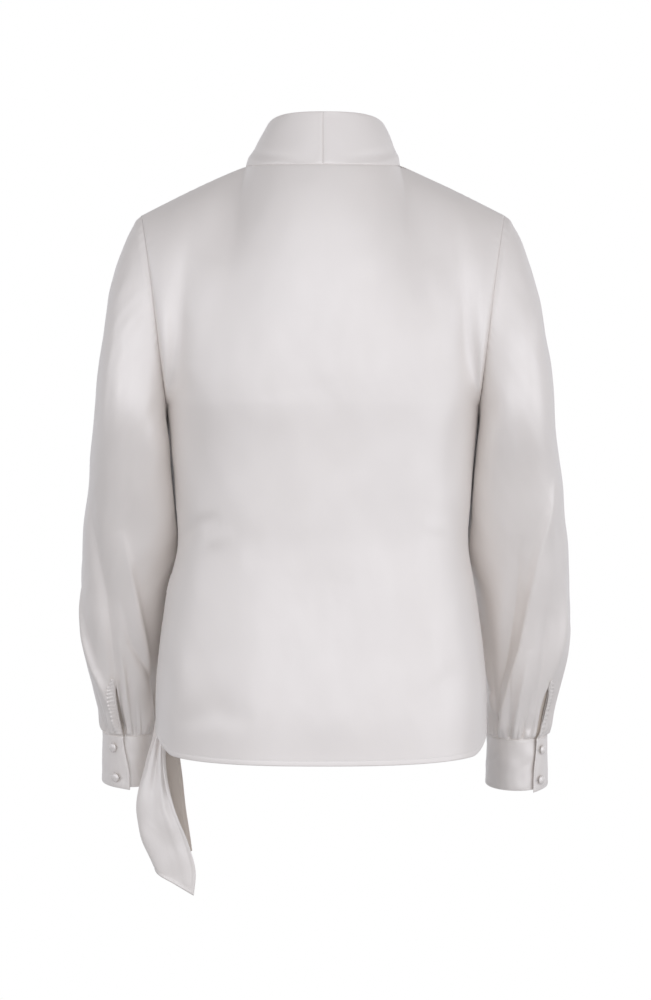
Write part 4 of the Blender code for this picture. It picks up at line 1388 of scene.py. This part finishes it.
    def build_binding(self, arm: Arm) -> None:
        """Builds the bound strip along the slit's outer edge, a little puckered by its stitches."""
        rises = np.linspace(0.0012, self.slit_rise + 0.007, 64)
        widths = self.binding_width * edge_spacing(14, self.binding_width, 0.0010)
        width, rise = np.meshgrid(widths, rises)
        share = 1 - width / (2 * math.pi * 0.0365)
        narrow = ease(self.slit_rise + 0.0075, self.slit_rise - 0.004, rise)
        share = 1 - (1 - share) * (0.35 + 0.65 * narrow)
        angle = math.radians(arm.slit_angle) + 2 * math.pi * share + self.slit_shift(share, rise, arm)
        grid = self.ring(angle, self.cuff_top + rise, arm)
        lift = np.maximum(self.relief(angle, self.cuff_top + rise, arm), -0.0004) + 0.0011
        uneven = soft_noise(rise, width, 0.02, arm.seed)
        puckers = np.sin(2 * math.pi * (rise + 0.25 * width) / 0.0042 + 3 * uneven)
        across = width / self.binding_width
        lift = lift + 0.0007 * puckers * ease(0, 0.3, across) * (0.5 + 0.5 * ease(0.5, 1, across))
        lift = lift + self.seat(share, rise)
        out = np.stack([np.cos(angle), np.sin(angle), 0 * angle], axis=-1)
        grid[..., 2] += arm.raised * ease(0.16, 0, rise)
        grid = (grid + out * lift[..., None]) * np.array([arm.side.value, 1, 1])
        normal = cloth_normals(grid)
        facing = float(np.sum(normal * out * np.array([arm.side.value, 1, 1]))) > 0
        name = "placket_" + arm.side.word
        piece = doubled_band("satin_" + name, grid, 0.0011, 0.0010, [self.wardrobe.face], facing)
        self.wardrobe.wear(piece, [name])
        sign = 1 if facing else -1
        outer = grid + normal * sign * 0.0006
        runs = [(outer[2:-2, 5], normal[2:-2, 5] * sign), (outer[2:-2, -6], normal[2:-2, -6] * sign)]
        StitchRow(pitch=0.0021, length=0.0015).sew("binding_stitches_" + arm.side.word, runs, self.wardrobe)

    def build_underlap(self, arm: Arm) -> None:
        """Builds the inner strip that is bound to the slit's other edge and shows in the opening, in the wrong-side
        satin whose darker colour is painted shade there.
        """
        share, rise = np.meshgrid(np.linspace(0, 1, 25), np.linspace(-0.002, self.slit_rise + 0.003, 60))
        middle = math.radians(arm.slit_angle)
        start, end = (middle + self.slit_shift(edge + 0 * rise, rise, arm) for edge in (0.0, 1.0))
        tuck = self.underlap_tuck / 0.037
        near, far = start + tuck, end - tuck
        angle = near + (far - near) * share
        height = self.cuff_top + rise
        low = np.minimum(self.relief(start, height, arm), self.relief(end, height, arm))
        seat = self.seat(0 * rise, rise) * (1 - share) + self.seat(1 + 0 * rise, rise) * share
        lift = low + seat - 0.0019 - 0.0006 * np.sin(math.pi * share)
        grid = self.ring(angle, height, arm)
        grid[..., 2] += arm.raised * ease(0.16, 0, rise)
        out = np.stack([np.cos(angle), np.sin(angle), 0 * angle], axis=-1)
        grid = (grid + out * lift[..., None]) * np.array([arm.side.value, 1, 1])
        normal = cloth_normals(grid)
        facing = float(np.sum(normal * out * np.array([arm.side.value, 1, 1]))) > 0
        piece = doubled_band(
            "slit_underlap_" + arm.side.word, grid, 0.0008, 0.0008, [self.wardrobe.reverse], facing
        )
        self.wardrobe.wear(piece)

    def cuff_point(self, turn: Array, drop: Array, arm: Arm) -> Array:
        """Middle of the cuff band: an ellipse that spirals in, so that its end laps over its start.

        Args:
            turn: Turns from the lapped outer edge.
            drop: Distance down from the cuff's top.
            arm: The arm.

        Returns:
            Points as (..., 3), on the arm's own side.
        """
        total = 1 + self.overlap
        share = drop / self.cuff_height
        angle = math.radians(arm.slit_angle) - 2 * math.pi * turn
        angle = angle + math.radians(arm.flap_slant) * ease(0, 0.8, share) * np.exp(-turn / 0.10)
        ring = self.rings[0]
        out = self.cuff_spiral * (1 - 2 * ease(0.10, total - 0.14, turn)) + self.cuff_flare * drop
        outer = ring.outer + arm.spread
        x = (outer + ring.inner) / 2 + ((outer - ring.inner) / 2 + out) * np.cos(angle)
        deep = ring.half_depth + out
        y = ring.centre_y - self.cuff_lean * drop + deep * np.sin(angle)
        z = self.cuff_top - self.cuff_wall * 0.3 - drop - self.cuff_tilt * deep * np.sin(angle)
        z = z - 0.0024 * share**2 * np.exp(-turn / 0.05) + arm.raised
        return np.stack(np.broadcast_arrays(x, y, z), axis=-1) * np.array([arm.side.value, 1, 1])

    def build_cuff(self, arm: Arm) -> None:
        """Builds the doubled cuff band with its edge stitching, buttons and worked buttonholes."""
        turns = (1 + self.overlap) * edge_spacing(150, 0.25, 0.0012)
        drops = self.cuff_height * edge_spacing(26, self.cuff_height, 0.0012)
        turn, drop = np.meshgrid(turns, drops)
        grid = self.cuff_point(turn, drop, arm)
        across, up = run_along(grid, 1), run_along(grid, 0)
        lap = self.overlap * across[:, -1:] / (1 + self.overlap)
        slack = 0.00030 * soft_noise(across, up, 0.030, arm.seed + 7)
        slack += 0.00016 * soft_noise(across * 2, up, 0.016, arm.seed + 8)
        slack -= 0.00035 * np.exp(-(((up - 0.0022) / 0.0006) ** 2))
        for button in self.button_drops:
            near = np.hypot(across - lap * arm.button_turn / self.overlap, up - button)
            slack -= 0.0006 * np.exp(-((near / 0.006) ** 2))
            slack += 0.00045 * np.exp(-(((across - lap * 0.95) / 0.004) ** 2)) * np.exp(
                -(((up - button) / 0.009) ** 2)
            )
        normal = cloth_normals(grid)
        middle = grid.mean(axis=(0, 1))
        facing = float(np.sum(normal * (grid - middle))) > 0
        name = "cuff_" + arm.side.word
        piece = doubled_band("satin_" + name, grid, self.cuff_wall, 0.0012, [self.wardrobe.face], facing, slack)
        self.wardrobe.wear(piece, [name])
        sign = 1 if facing else -1
        outer = grid + normal * sign * self.cuff_wall / 2
        top, bottom = (int(np.argmin(np.abs(up[:, 40] - d))) for d in (0.0022, self.cuff_height - 0.0022))
        side = int(np.argmin(np.abs(across[10] - 0.0022)))
        last = int(np.argmin(np.abs(turns - 1.0)))
        runs = [
            (outer[top, side:last], normal[top, side:last] * sign),
            (outer[bottom, side:last], normal[bottom, side:last] * sign),
            (outer[top:bottom, side], normal[top:bottom, side] * sign),
        ]
        StitchRow(pitch=0.0024, length=0.0017).sew("cuff_stitches_" + arm.side.word, runs, self.wardrobe)
        self.build_buttons(arm)

    def build_buttons(self, arm: Arm) -> None:
        """Builds the two covered buttons and the thread worked round the hole under each."""
        turn = arm.button_turn
        for number, drop in enumerate(self.button_drops, 1):
            step = 0.004
            place = self.cuff_point(np.array(turn), np.array(drop), arm)
            along = self.cuff_point(np.array(turn + step), np.array(drop), arm) - place
            down = self.cuff_point(np.array(turn), np.array(drop + step), arm) - place
            normal = np.cross(along, down)
            normal /= np.linalg.norm(normal)
            ring = self.rings[0]
            centre = np.array([arm.side.value * (ring.outer + ring.inner) / 2, ring.centre_y, place[2]])
            normal *= 1 if np.dot(normal, place - centre) > 0 else -1
            level = down - normal * np.dot(down, normal)
            level /= np.linalg.norm(level)
            side = np.cross(normal, level)
            seat = place + normal * (self.cuff_wall / 2 + 0.0003)
            round_angle, share = np.meshgrid(np.linspace(0, 2 * math.pi, 49), np.linspace(0, 1, 22))
            fall = share * 1.9
            radius = self.button_radius * np.where(fall < 1.55, np.sin(np.minimum(fall, 1.55)), 1.0)
            radius = radius * np.where(fall > 1.55, 1 - 0.7 * (fall - 1.55) / 0.35, 1)
            height = self.button_dome * np.where(
                fall < 1.55, 0.30 + 0.70 * np.cos(np.minimum(fall, 1.55)), 0.30 - 0.30 * (fall - 1.55) / 0.35
            )
            crimp = 0.00012 * np.sin(19 * round_angle + 2 * np.sin(3 * round_angle)) * ease(0.5, 0.8, share)
            radius = radius + crimp
            dome = (
                seat
                + side * (radius * np.cos(round_angle))[..., None]
                + level * (radius * np.sin(round_angle))[..., None]
                + normal * height[..., None]
            )
            columns = dome.shape[1] - 1
            index = np.arange(dome.shape[0] * columns).reshape(dome.shape[0], columns)
            index[0] = index[0, 0]
            index = np.concatenate([index, index[:, :1]], axis=1)
            faces = grid_quads(index)
            faces = self.triangles_at_pole(faces)
            points = dome[:, :-1].reshape(-1, 3)
            flat = np.stack([(points - seat) @ side, (points - seat) @ level], axis=-1)
            name = f"button_{arm.side.word}_{number}"
            piece = self.button_mesh(name, points, faces, flat, dome[0, 0] + normal)
            self.wardrobe.wear(piece, [name], "covered_button")
            self.build_buttonhole(name, place, normal, side, arm)

    @staticmethod
    def triangles_at_pole(faces: Array) -> list[tuple[int, ...]]:
        """Turns quads that share a corner twice into triangles."""
        return [tuple(dict.fromkeys(face)) for face in faces.tolist()]

    def button_mesh(
        self, name: str, points: Array, faces: list[tuple[int, ...]], flat: Array, top: Array
    ) -> bpy.types.Object:
        """Makes a covered button from its ring points, closed underneath and facing out.

        Args:
            name: Name of the button's CAD node.
            points: Points of the dome.
            faces: Its faces.
            flat: Position of each point over the button's disc, for the cloth UV.
            top: A point above the dome.

        Returns:
            The object.
        """
        mesh = bpy.data.meshes.new("satin_" + name)
        last = len(points) - 48
        faces = faces + [tuple(range(last, len(points)))]
        mesh.from_pydata(points.tolist(), [], faces)
        layer = mesh.uv_layers.new(name="cloth")
        corner = np.empty(len(mesh.loops), np.int32)
        mesh.loops.foreach_get("vertex_index", corner)
        layer.data.foreach_set("uv", flat[corner].reshape(-1).astype(np.float32))
        mesh.update()
        first = mesh.polygons[0]
        if (Vector(top) - first.center).dot(first.normal) < 0:
            mesh.flip_normals()
        mesh.shade_smooth()
        mesh.materials.append(self.wardrobe.button)
        piece = bpy.data.objects.new("satin_" + name, mesh)
        bpy.context.scene.collection.objects.link(piece)
        return piece

    def build_buttonhole(self, name: str, place: Array, normal: Array, side: Array, arm: Arm) -> None:
        """Builds the worked buttonhole: a long ring of close stitches that shows past the button."""
        round_angle = np.linspace(0, 2 * math.pi, 90)
        long, short = 0.0078, 0.0012
        line = place + normal * (self.cuff_wall / 2 - 0.0001)
        line = line + side * (long * np.cos(round_angle))[:, None]
        down = np.cross(side, normal)
        line = line + down * (short * np.sin(round_angle))[:, None]
        bow = (long * np.cos(round_angle)) ** 2 / (2 * 0.036)
        line = line - normal * bow[:, None]
        normals = np.broadcast_to(normal, line.shape)
        StitchRow(pitch=0.0008, length=0.0007, radius=0.00022).sew(
            "hole_" + name, [(line, normals)], self.wardrobe
        )

    def build(self) -> None:
        """Builds both arms."""
        for arm in ARMS:
            self.build_sleeve(arm)
            self.build_binding(arm)
            self.build_underlap(arm)
            self.build_cuff(arm)


# ---------------------------------------------------------------- sash


@dataclass(frozen=True)
class TieRow:
    """Where the long end's near edge, fold and far edge hang at a share of its fall."""

    fall: float
    near_x: float
    near_y: float
    fold_x: float
    fold_y: float
    far_x: float
    far_y: float


@dataclass
class Sash:
    """The tie at the left waist: strap, knot, and two ends."""

    body: BodyForm
    wardrobe: Wardrobe
    share: float = 0.64
    level: float = 0.44
    knot_size: tuple[float, float, float] = (0.024, 0.021, 0.031)
    near_end_z: float = -0.7700
    fold_end_z: float = -0.7440
    far_end_z: float = -0.7240
    rows: tuple[TieRow, ...] = (
        TieRow(0.00, 0.1430, -0.0775, 0.1530, -0.0810, 0.1440, -0.0860),
        TieRow(0.22, 0.1550, -0.0750, 0.1665, -0.0745, 0.1500, -0.0890),
        TieRow(0.44, 0.1680, -0.0640, 0.1785, -0.0660, 0.1570, -0.0880),
        TieRow(0.60, 0.1655, -0.0540, 0.1895, -0.0600, 0.1542, -0.0820),
        TieRow(0.70, 0.1575, -0.0490, 0.1968, -0.0570, 0.1508, -0.0800),
        TieRow(0.82, 0.1430, -0.0480, 0.1968, -0.0570, 0.1472, -0.0740),
        TieRow(0.92, 0.1355, -0.0490, 0.1880, -0.0570, 0.1430, -0.0700),
        TieRow(1.00, 0.1377, -0.0500, 0.1775, -0.0570, 0.1400, -0.0680),
    )

    def knot_place(self) -> Array:
        """Centre of the knot, standing just off the wrapped front."""
        lift = WRAP_LIFT + 0.0006 + self.knot_size[1] / 2 + 0.0004
        return self.body.lifted(np.array(self.share), np.array(self.level), np.array(lift))

    def long_end(self, fall: Array, place: Array) -> Array:
        """Long end: across each level a smooth line runs near edge, fold, far edge.

        Args:
            fall: From the knot (0) to the cut end (1).
            place: From the near edge (0) round the fold (0.5) to the far edge (1).

        Returns:
            Points as (..., 3).
        """
        at = {n: column(self.rows, n, fall, "fall") for n in
              ("near_x", "near_y", "fold_x", "fold_y", "far_x", "far_y")}
        knots = np.array([0.0, 0.22, 0.42, 0.50, 0.58, 0.78, 1.0])
        xs = [
            at["near_x"], at["near_x"] * 0.5 + at["fold_x"] * 0.5, at["fold_x"] - 0.0022,
            at["fold_x"] + 0.0008, at["fold_x"] - 0.0022,
            at["fold_x"] * 0.5 + at["far_x"] * 0.5, at["far_x"],
        ]
        ys = [
            at["near_y"], at["near_y"] * 0.5 + at["fold_y"] * 0.5 + 0.0035, at["fold_y"] + 0.0030,
            at["fold_y"] - 0.0012, at["fold_y"] - 0.0042,
            at["fold_y"] * 0.5 + at["far_y"] * 0.5 - 0.0021, at["far_y"],
        ]
        i = np.clip(np.searchsorted(knots, place) - 1, 0, 5)
        width = knots[i + 1] - knots[i]
        t = (place - knots[i]) / width

        def read(values: list[Array]) -> Array:
            """Reads the seven values as one smooth curve at every point."""
            stack = np.stack(values)
            slope = np.gradient(stack, knots, axis=0)
            take = lambda a, k: np.take_along_axis(a, k[None], axis=0)[0]
            v0, v1, s0, s1 = take(stack, i), take(stack, i + 1), take(slope, i), take(slope, i + 1)
            start = (1 + 2 * t) * (1 - t) ** 2 * v0 + t * (1 - t) ** 2 * width * s0
            return start + t * t * (3 - 2 * t) * v1 + t * t * (t - 1) * width * s1

        top = self.knot_place()[2] - self.knot_size[2] / 2 - 0.0002
        end = through([0.0, 0.5, 1.0], [self.near_end_z, self.fold_end_z, self.far_end_z], place)
        return np.stack([read(xs), read(ys), top + (end - top) * fall], axis=-1)

    def build_long_end(self) -> None:
        """Builds the long end with a narrow hem round it and soft lengthwise folds."""
        fall, place = np.meshgrid(np.linspace(0, 1, 150), np.linspace(0, 1, 110), indexing="ij")
        grid = self.long_end(fall, place)
        across, up = run_along(grid, 1), run_along(grid, 0)
        edge = np.minimum(np.minimum(across, across[:, -1:] - across), up[-1:] - up)
        normal = cloth_normals(grid)
        relief = crease_lift(
            (
                Crease(((0.26, 0.30), (0.24, 0.52), (0.30, 0.80)), -0.0022, 0.050, 0.060),
                Crease(((0.40, 0.02), (0.38, 0.30), (0.42, 0.70)), 0.0012, 0.030, 0.030),
                Crease(((0.12, 0.45), (0.14, 0.70), (0.10, 0.95)), 0.0012, 0.050, 0.040, 0.0, 0.5),
                Crease(((0.76, 0.30), (0.72, 0.60), (0.78, 0.90)), 0.0018, 0.060, 0.050),
            ),
            place,
            fall,
        )
        pleats = 0.0011 * np.sin(2 * math.pi * place * 6 + 0.8 * np.sin(7 * fall)) * ease(0.42, 0.0, fall)
        relief = relief + pleats + 0.0004 * soft_noise(across, up, 0.034, 95)
        relief *= ease(-0.002, 0.010, edge)
        relief += 0.0005 * ease(0.0048, 0.0036, edge) - 0.0004 * np.exp(-(((edge - 0.0042) / 0.0006) ** 2))
        facing = float(np.sum(normal[:, :40, 1])) > 0
        grid = grid + normal * (1 if facing else -1) * relief[..., None]
        # The far flap shows the inside face in the wrong-side satin, whose darker colour is painted shade.
        piece = shell("sash_end_long", grid, facing, [self.wardrobe.sash, self.wardrobe.reverse])
        self.wardrobe.wear(piece, ["tie_end_long"])
        sign = 1 if facing else -1
        outer, unit = grid + normal * sign * SATIN_SHELL / 2, normal * sign
        row = int(np.argmin(np.abs((up[-1:] - up)[:, 30] - 0.0042)))
        runs = [(outer[row, 4:-4], unit[row, 4:-4])]
        StitchRow().sew("sash_stitches", runs, self.wardrobe)

    def build_short_end(self) -> None:
        """Builds the short end, which lies on the wrapped front below the knot."""
        fall, place = np.meshgrid(np.linspace(0, 1, 90), np.linspace(-0.5, 0.5, 60), indexing="ij")
        width = 0.13 * (0.42 + 0.58 * ease(0, 0.6, fall))
        share = 0.60 - 0.09 * fall + width * place
        level = 0.400 - 0.305 * (fall + 0.10 * fall * place)
        lift = WRAP_LIFT + 0.0026 + 0.0024 * fall * (1 + np.sin(9 * place + 2 * fall))
        lift = lift + 0.0007 * np.sin(2 * math.pi * place * 3 + 1.0) * ease(0.8, 0.0, fall)
        grid = self.body.lifted(share, level, lift)
        normal = cloth_normals(grid)
        facing = float(np.sum(normal[..., 1])) < 0
        piece = shell("sash_end_short", grid, facing, [self.wardrobe.sash, self.wardrobe.reverse])
        self.wardrobe.wear(piece, ["tie_end_short"])
        sign = 1 if facing else -1
        outer = grid + normal * sign * SATIN_SHELL / 2
        runs = [(outer[-4, 3:-3], normal[-4, 3:-3] * sign)]
        StitchRow().sew("sash_short_stitches", runs, self.wardrobe)

    def build_strap(self) -> None:
        """Builds the strap from the side seam to the knot, drawn into lengthwise pleats."""
        half = 0.010 / (self.body.underarm_z - self.body.hem_front_z)
        along = edge_spacing(60, 0.055, 0.0010)
        shares = self.share + 0.038 + (0.965 - self.share - 0.038) * along
        across = 2 * edge_spacing(24, 0.020, 0.0010) - 1
        share, side = np.meshgrid(shares, across)
        tuck = 1 - 0.35 * ease(0.80, self.share + 0.03, share)
        lift = 0.0012 + 0.0056 * ease(0.84, self.share + 0.05, share)
        lift = lift + 0.0006 * np.sin(4.5 * math.pi * side + 1.2 * np.sin(14 * share)) * ease(1.0, 0.9, share)
        grid = self.body.lifted(share, self.level + half * side * tuck, lift)
        normal = cloth_normals(grid)
        facing = float(np.sum(normal[..., 1])) < 0
        piece = doubled_band("sash_strap", grid, 0.0012, 0.0010, [self.wardrobe.sash], facing)
        self.wardrobe.wear(piece, ["tie_strap"])

    def build_knot(self) -> None:
        """Builds the knot: a rounded barrel whose radius is creased by the sash's turns."""
        centre = self.knot_place()
        angle, share = np.meshgrid(np.linspace(0, 2 * math.pi, 121)[:-1], np.linspace(0, 1, 64))
        polar = share * math.pi
        wrap = np.abs(np.sin(1.5 * angle + 2.4 * np.cos(polar) + 0.4)) ** 0.55
        cross = np.abs(np.sin(angle - 3.4 * np.cos(polar) + 1.9)) ** 0.6
        crease = 0.90 + 0.08 * wrap + 0.04 * cross + 0.012 * np.sin(9 * angle + 5 * np.cos(polar))
        waist = np.sin(polar) ** 0.72 * crease
        half = np.array(self.knot_size) / 2 * 0.98
        x = half[0] * waist * np.cos(angle)
        y = half[1] * waist * np.sin(angle)
        z = -half[2] * np.sign(np.cos(polar)) * np.abs(np.cos(polar)) ** 0.9
        turn = math.radians(30)
        points = np.stack(
            [x * math.cos(turn) - y * math.sin(turn), x * math.sin(turn) + y * math.cos(turn), z], axis=-1
        )
        points = points + centre
        rows, columns = angle.shape
        index = np.arange(rows * columns).reshape(rows, columns)
        index[0], index[-1] = index[0, 0], index[-1, 0]
        index = np.concatenate([index, index[:, :1]], axis=1)
        faces = [tuple(dict.fromkeys(f)) for f in grid_quads(index).tolist()]
        used = np.unique(index)
        order = np.full(rows * columns, -1)
        order[used] = np.arange(len(used))
        mesh = bpy.data.meshes.new("sash_knot")
        flat = points.reshape(-1, 3)[used]
        mesh.from_pydata(flat.tolist(), [], [tuple(int(order[i]) for i in f) for f in faces])
        layer = mesh.uv_layers.new(name="cloth")
        corner = np.empty(len(mesh.loops), np.int32)
        mesh.loops.foreach_get("vertex_index", corner)
        layer.data.foreach_set("uv", flat[corner][:, [0, 2]].reshape(-1).astype(np.float32))
        mesh.update()
        face = mesh.polygons[len(mesh.polygons) // 2]
        if (face.center - Vector(centre)).dot(face.normal) < 0:
            mesh.flip_normals()
        mesh.shade_smooth()
        mesh.materials.append(self.wardrobe.sash)
        piece = bpy.data.objects.new("sash_knot", mesh)
        bpy.context.scene.collection.objects.link(piece)
        self.wardrobe.wear(piece, ["tie_knot"])

    def build(self) -> None:
        """Builds every stretch of the sash."""
        self.build_long_end()
        self.build_short_end()
        self.build_strap()
        self.build_knot()


# ---------------------------------------------------------------- studio


@dataclass(frozen=True)
class SoftBox:
    """A large soft light: where it stands, its size and its power."""

    name: str
    place: tuple[float, float, float]
    size: tuple[float, float]
    power: float


@dataclass(frozen=True)
class Glow:
    """A soft bright patch of the surroundings: its direction, strength and reach.

    Attributes:
        toward: Direction of its middle.
        strength: Radiance there.
        wide: Angle in degrees at which it has faded out.
        full: Angle within which it has its full strength.
    """

    toward: tuple[float, float, float]
    strength: float
    wide: float
    full: float


@dataclass(frozen=True)
class Belt:
    """A soft bright belt of the surroundings, level all round.

    Attributes:
        rise: Sine of its elevation.
        full: Half height, as a sine, within which it has its full strength.
        fade: Half height at which it has faded out.
        strength: Radiance.
    """

    rise: float
    full: float
    fade: float
    strength: float


@dataclass
class Studio:
    """Plain pale floor, white surroundings, soft lights and the photograph's camera."""

    distance: float = 3.5
    target: tuple[float, float, float] = (-0.0026, 0.0, -0.3486)
    lens: float = 120.0
    floor_z: float = -1.42
    floor_radius: float = 1.9
    ambient: float = 0.11
    belt: Belt = Belt(0.10, 0.12, 0.66, 0.42)
    tone: tuple[float, float, float] = (0.945, 0.950, 1.0)
    boxes: tuple[SoftBox, ...] = (
        SoftBox("soft_box_middle", (0.0, 4.2, 0.95), (6.0, 3.2), 43.0),
        SoftBox("soft_box_right", (-3.6, 1.6, 0.0), (3.2, 2.8), 21.0),
        SoftBox("soft_box_left", (3.6, 1.6, 0.90), (3.0, 2.4), 15.0),
    )
    glows: tuple[Glow, ...] = (
        Glow((0.0, 0.84, 0.54), 0.48, 74.0, 14.0),
        Glow((-1.0, 0.10, 0.10), 0.16, 62.0, 10.0),
        Glow((-0.60, 0.65, -0.42), 0.28, 48.0, 6.0),
        Glow((0.0, -1.0, 0.10), 0.35, 78.0, 30.0),
    )

    def build(self) -> None:
        """Builds floor, surroundings, lights and camera."""
        self.build_floor()
        self.build_world()
        for box in self.boxes:
            light = bpy.data.lights.new(box.name, "AREA")
            light.shape, light.size, light.size_y = "RECTANGLE", box.size[0], box.size[1]
            light.energy, light.color = box.power, self.tone
            holder = bpy.data.objects.new(box.name, light)
            holder.location = box.place
            aim = Vector(self.target) - Vector(box.place)
            holder.rotation_euler = aim.to_track_quat("-Z", "Y").to_euler()
            bpy.context.scene.collection.objects.link(holder)
        camera = bpy.data.cameras.new("camera")
        camera.lens, camera.sensor_width = self.lens, 36.0
        camera.clip_start = 0.05
        holder = bpy.data.objects.new("camera", camera)
        place = Vector(self.target) + Vector((0.0, self.distance, 0.0))
        holder.location = place
        holder.rotation_euler = (Vector(self.target) - place).to_track_quat("-Z", "Y").to_euler()
        bpy.context.scene.collection.objects.link(holder)
        bpy.context.scene.camera = holder
        bpy.context.scene.view_settings.view_transform = "Standard"

    def build_floor(self) -> None:
        """Builds the floor as a disc: rings of points at growing radii round the centre."""
        angle, radius = np.meshgrid(np.linspace(0, 2 * math.pi, 97), np.linspace(0.001, self.floor_radius, 12))
        grid = np.stack([radius * np.cos(angle), radius * np.sin(angle), 0 * angle + self.floor_z], axis=-1)
        index = np.arange(grid.shape[0] * grid.shape[1]).reshape(grid.shape[:2])
        material = bpy.data.materials.new("pale_floor")
        material.use_nodes = True
        nodes, link = material.node_tree.nodes, material.node_tree.links.new
        shader = nodes["Principled BSDF"]
        shader.inputs["Roughness"].default_value = 0.85
        shade = nodes.new("ShaderNodeTexNoise")
        shade.inputs["Scale"].default_value = 3.0
        mix = nodes.new("ShaderNodeMix")
        mix.data_type = "RGBA"
        mix.inputs["A"].default_value = (0.70, 0.70, 0.70, 1.0)
        mix.inputs["B"].default_value = (0.74, 0.74, 0.74, 1.0)
        place = nodes.new("ShaderNodeTexCoord")
        link(place.outputs["Object"], shade.inputs["Vector"])
        link(shade.outputs["Fac"], mix.inputs["Factor"])
        link(mix.outputs["Result"], shader.inputs["Base Color"])
        faces = grid_quads(index)
        floor = new_piece("floor", grid.reshape(-1, 3), faces, np.zeros((len(faces), 4, 2)), [material])

    def build_world(self) -> None:
        """Builds the surroundings: white to the camera, and a belt and soft glows for all else.

        The belt is a smooth step of a ray's height, and each glow is its strength times a
        smooth step of the cosine between a ray and the glow's direction.
        """
        world = bpy.data.worlds.new("studio")
        world.use_nodes = True
        bpy.context.scene.world = world
        nodes, link = world.node_tree.nodes, world.node_tree.links.new
        place = nodes.new("ShaderNodeTexCoord")
        split, apart = nodes.new("ShaderNodeSeparateXYZ"), nodes.new("ShaderNodeMath")
        link(place.outputs["Generated"], split.inputs["Vector"])
        link(split.outputs["Z"], apart.inputs[0])
        apart.operation, apart.inputs[1].default_value = "SUBTRACT", self.belt.rise
        height = nodes.new("ShaderNodeMath")
        height.operation = "ABSOLUTE"
        link(apart.outputs["Value"], height.inputs[0])

        def step(
            value: bpy.types.NodeSocket, start: float, end: float, low: float, high: float
        ) -> bpy.types.NodeSocket:
            """Smooth step of a value, from low at start to high at end."""
            level = nodes.new("ShaderNodeMapRange")
            level.interpolation_type = "SMOOTHSTEP"
            for name, number in (("From Min", start), ("From Max", end), ("To Min", low), ("To Max", high)):
                level.inputs[name].default_value = number
            link(value, level.inputs["Value"])
            return level.outputs["Result"]

        bright = self.ambient + self.belt.strength
        total = step(height.outputs["Value"], self.belt.fade, self.belt.full, self.ambient, bright)
        for glow in self.glows:
            facing = nodes.new("ShaderNodeVectorMath")
            facing.operation = "DOT_PRODUCT"
            facing.inputs[1].default_value = Vector(glow.toward).normalized()
            link(place.outputs["Generated"], facing.inputs[0])
            edge, middle = math.cos(math.radians(glow.wide)), math.cos(math.radians(glow.full))
            add = nodes.new("ShaderNodeMath")
            link(total, add.inputs[0])
            link(step(facing.outputs["Value"], edge, middle, 0.0, glow.strength), add.inputs[1])
            total = add.outputs["Value"]
        seen, lit = nodes["Background"], nodes.new("ShaderNodeBackground")
        seen.inputs["Color"].default_value = (1.0, 1.0, 1.0, 1.0)
        lit.inputs["Color"].default_value = (*self.tone, 1.0)
        link(total, lit.inputs["Strength"])
        rays, choose = nodes.new("ShaderNodeLightPath"), nodes.new("ShaderNodeMixShader")
        link(rays.outputs["Is Camera Ray"], choose.inputs["Fac"])
        link(lit.outputs["Background"], choose.inputs[1])
        link(seen.outputs["Background"], choose.inputs[2])
        link(choose.outputs["Shader"], nodes["World Output"].inputs["Surface"])


def build_blouse() -> None:
    """Builds the studio and then each part of the blouse, and logs them."""
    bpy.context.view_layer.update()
    Studio().build()
    body, wardrobe = BodyForm(), Wardrobe()
    panels = BodyPanels(body, wardrobe)
    steps: tuple[tuple[str, Callable[[], None]], ...] = (
        ("body panels", panels.build),
        ("collar", Collar(body, wardrobe).build),
        ("sleeves and cuffs", SleeveForm(panels, body, wardrobe).build),
        ("sash", Sash(body, wardrobe).build),
    )
    for name, step in steps:
        LOG.info("building the %s", name)
        step()


if __name__ == "__main__":
    logging.basicConfig(level=logging.INFO, format="%(name)s: %(message)s")
    build_blouse()
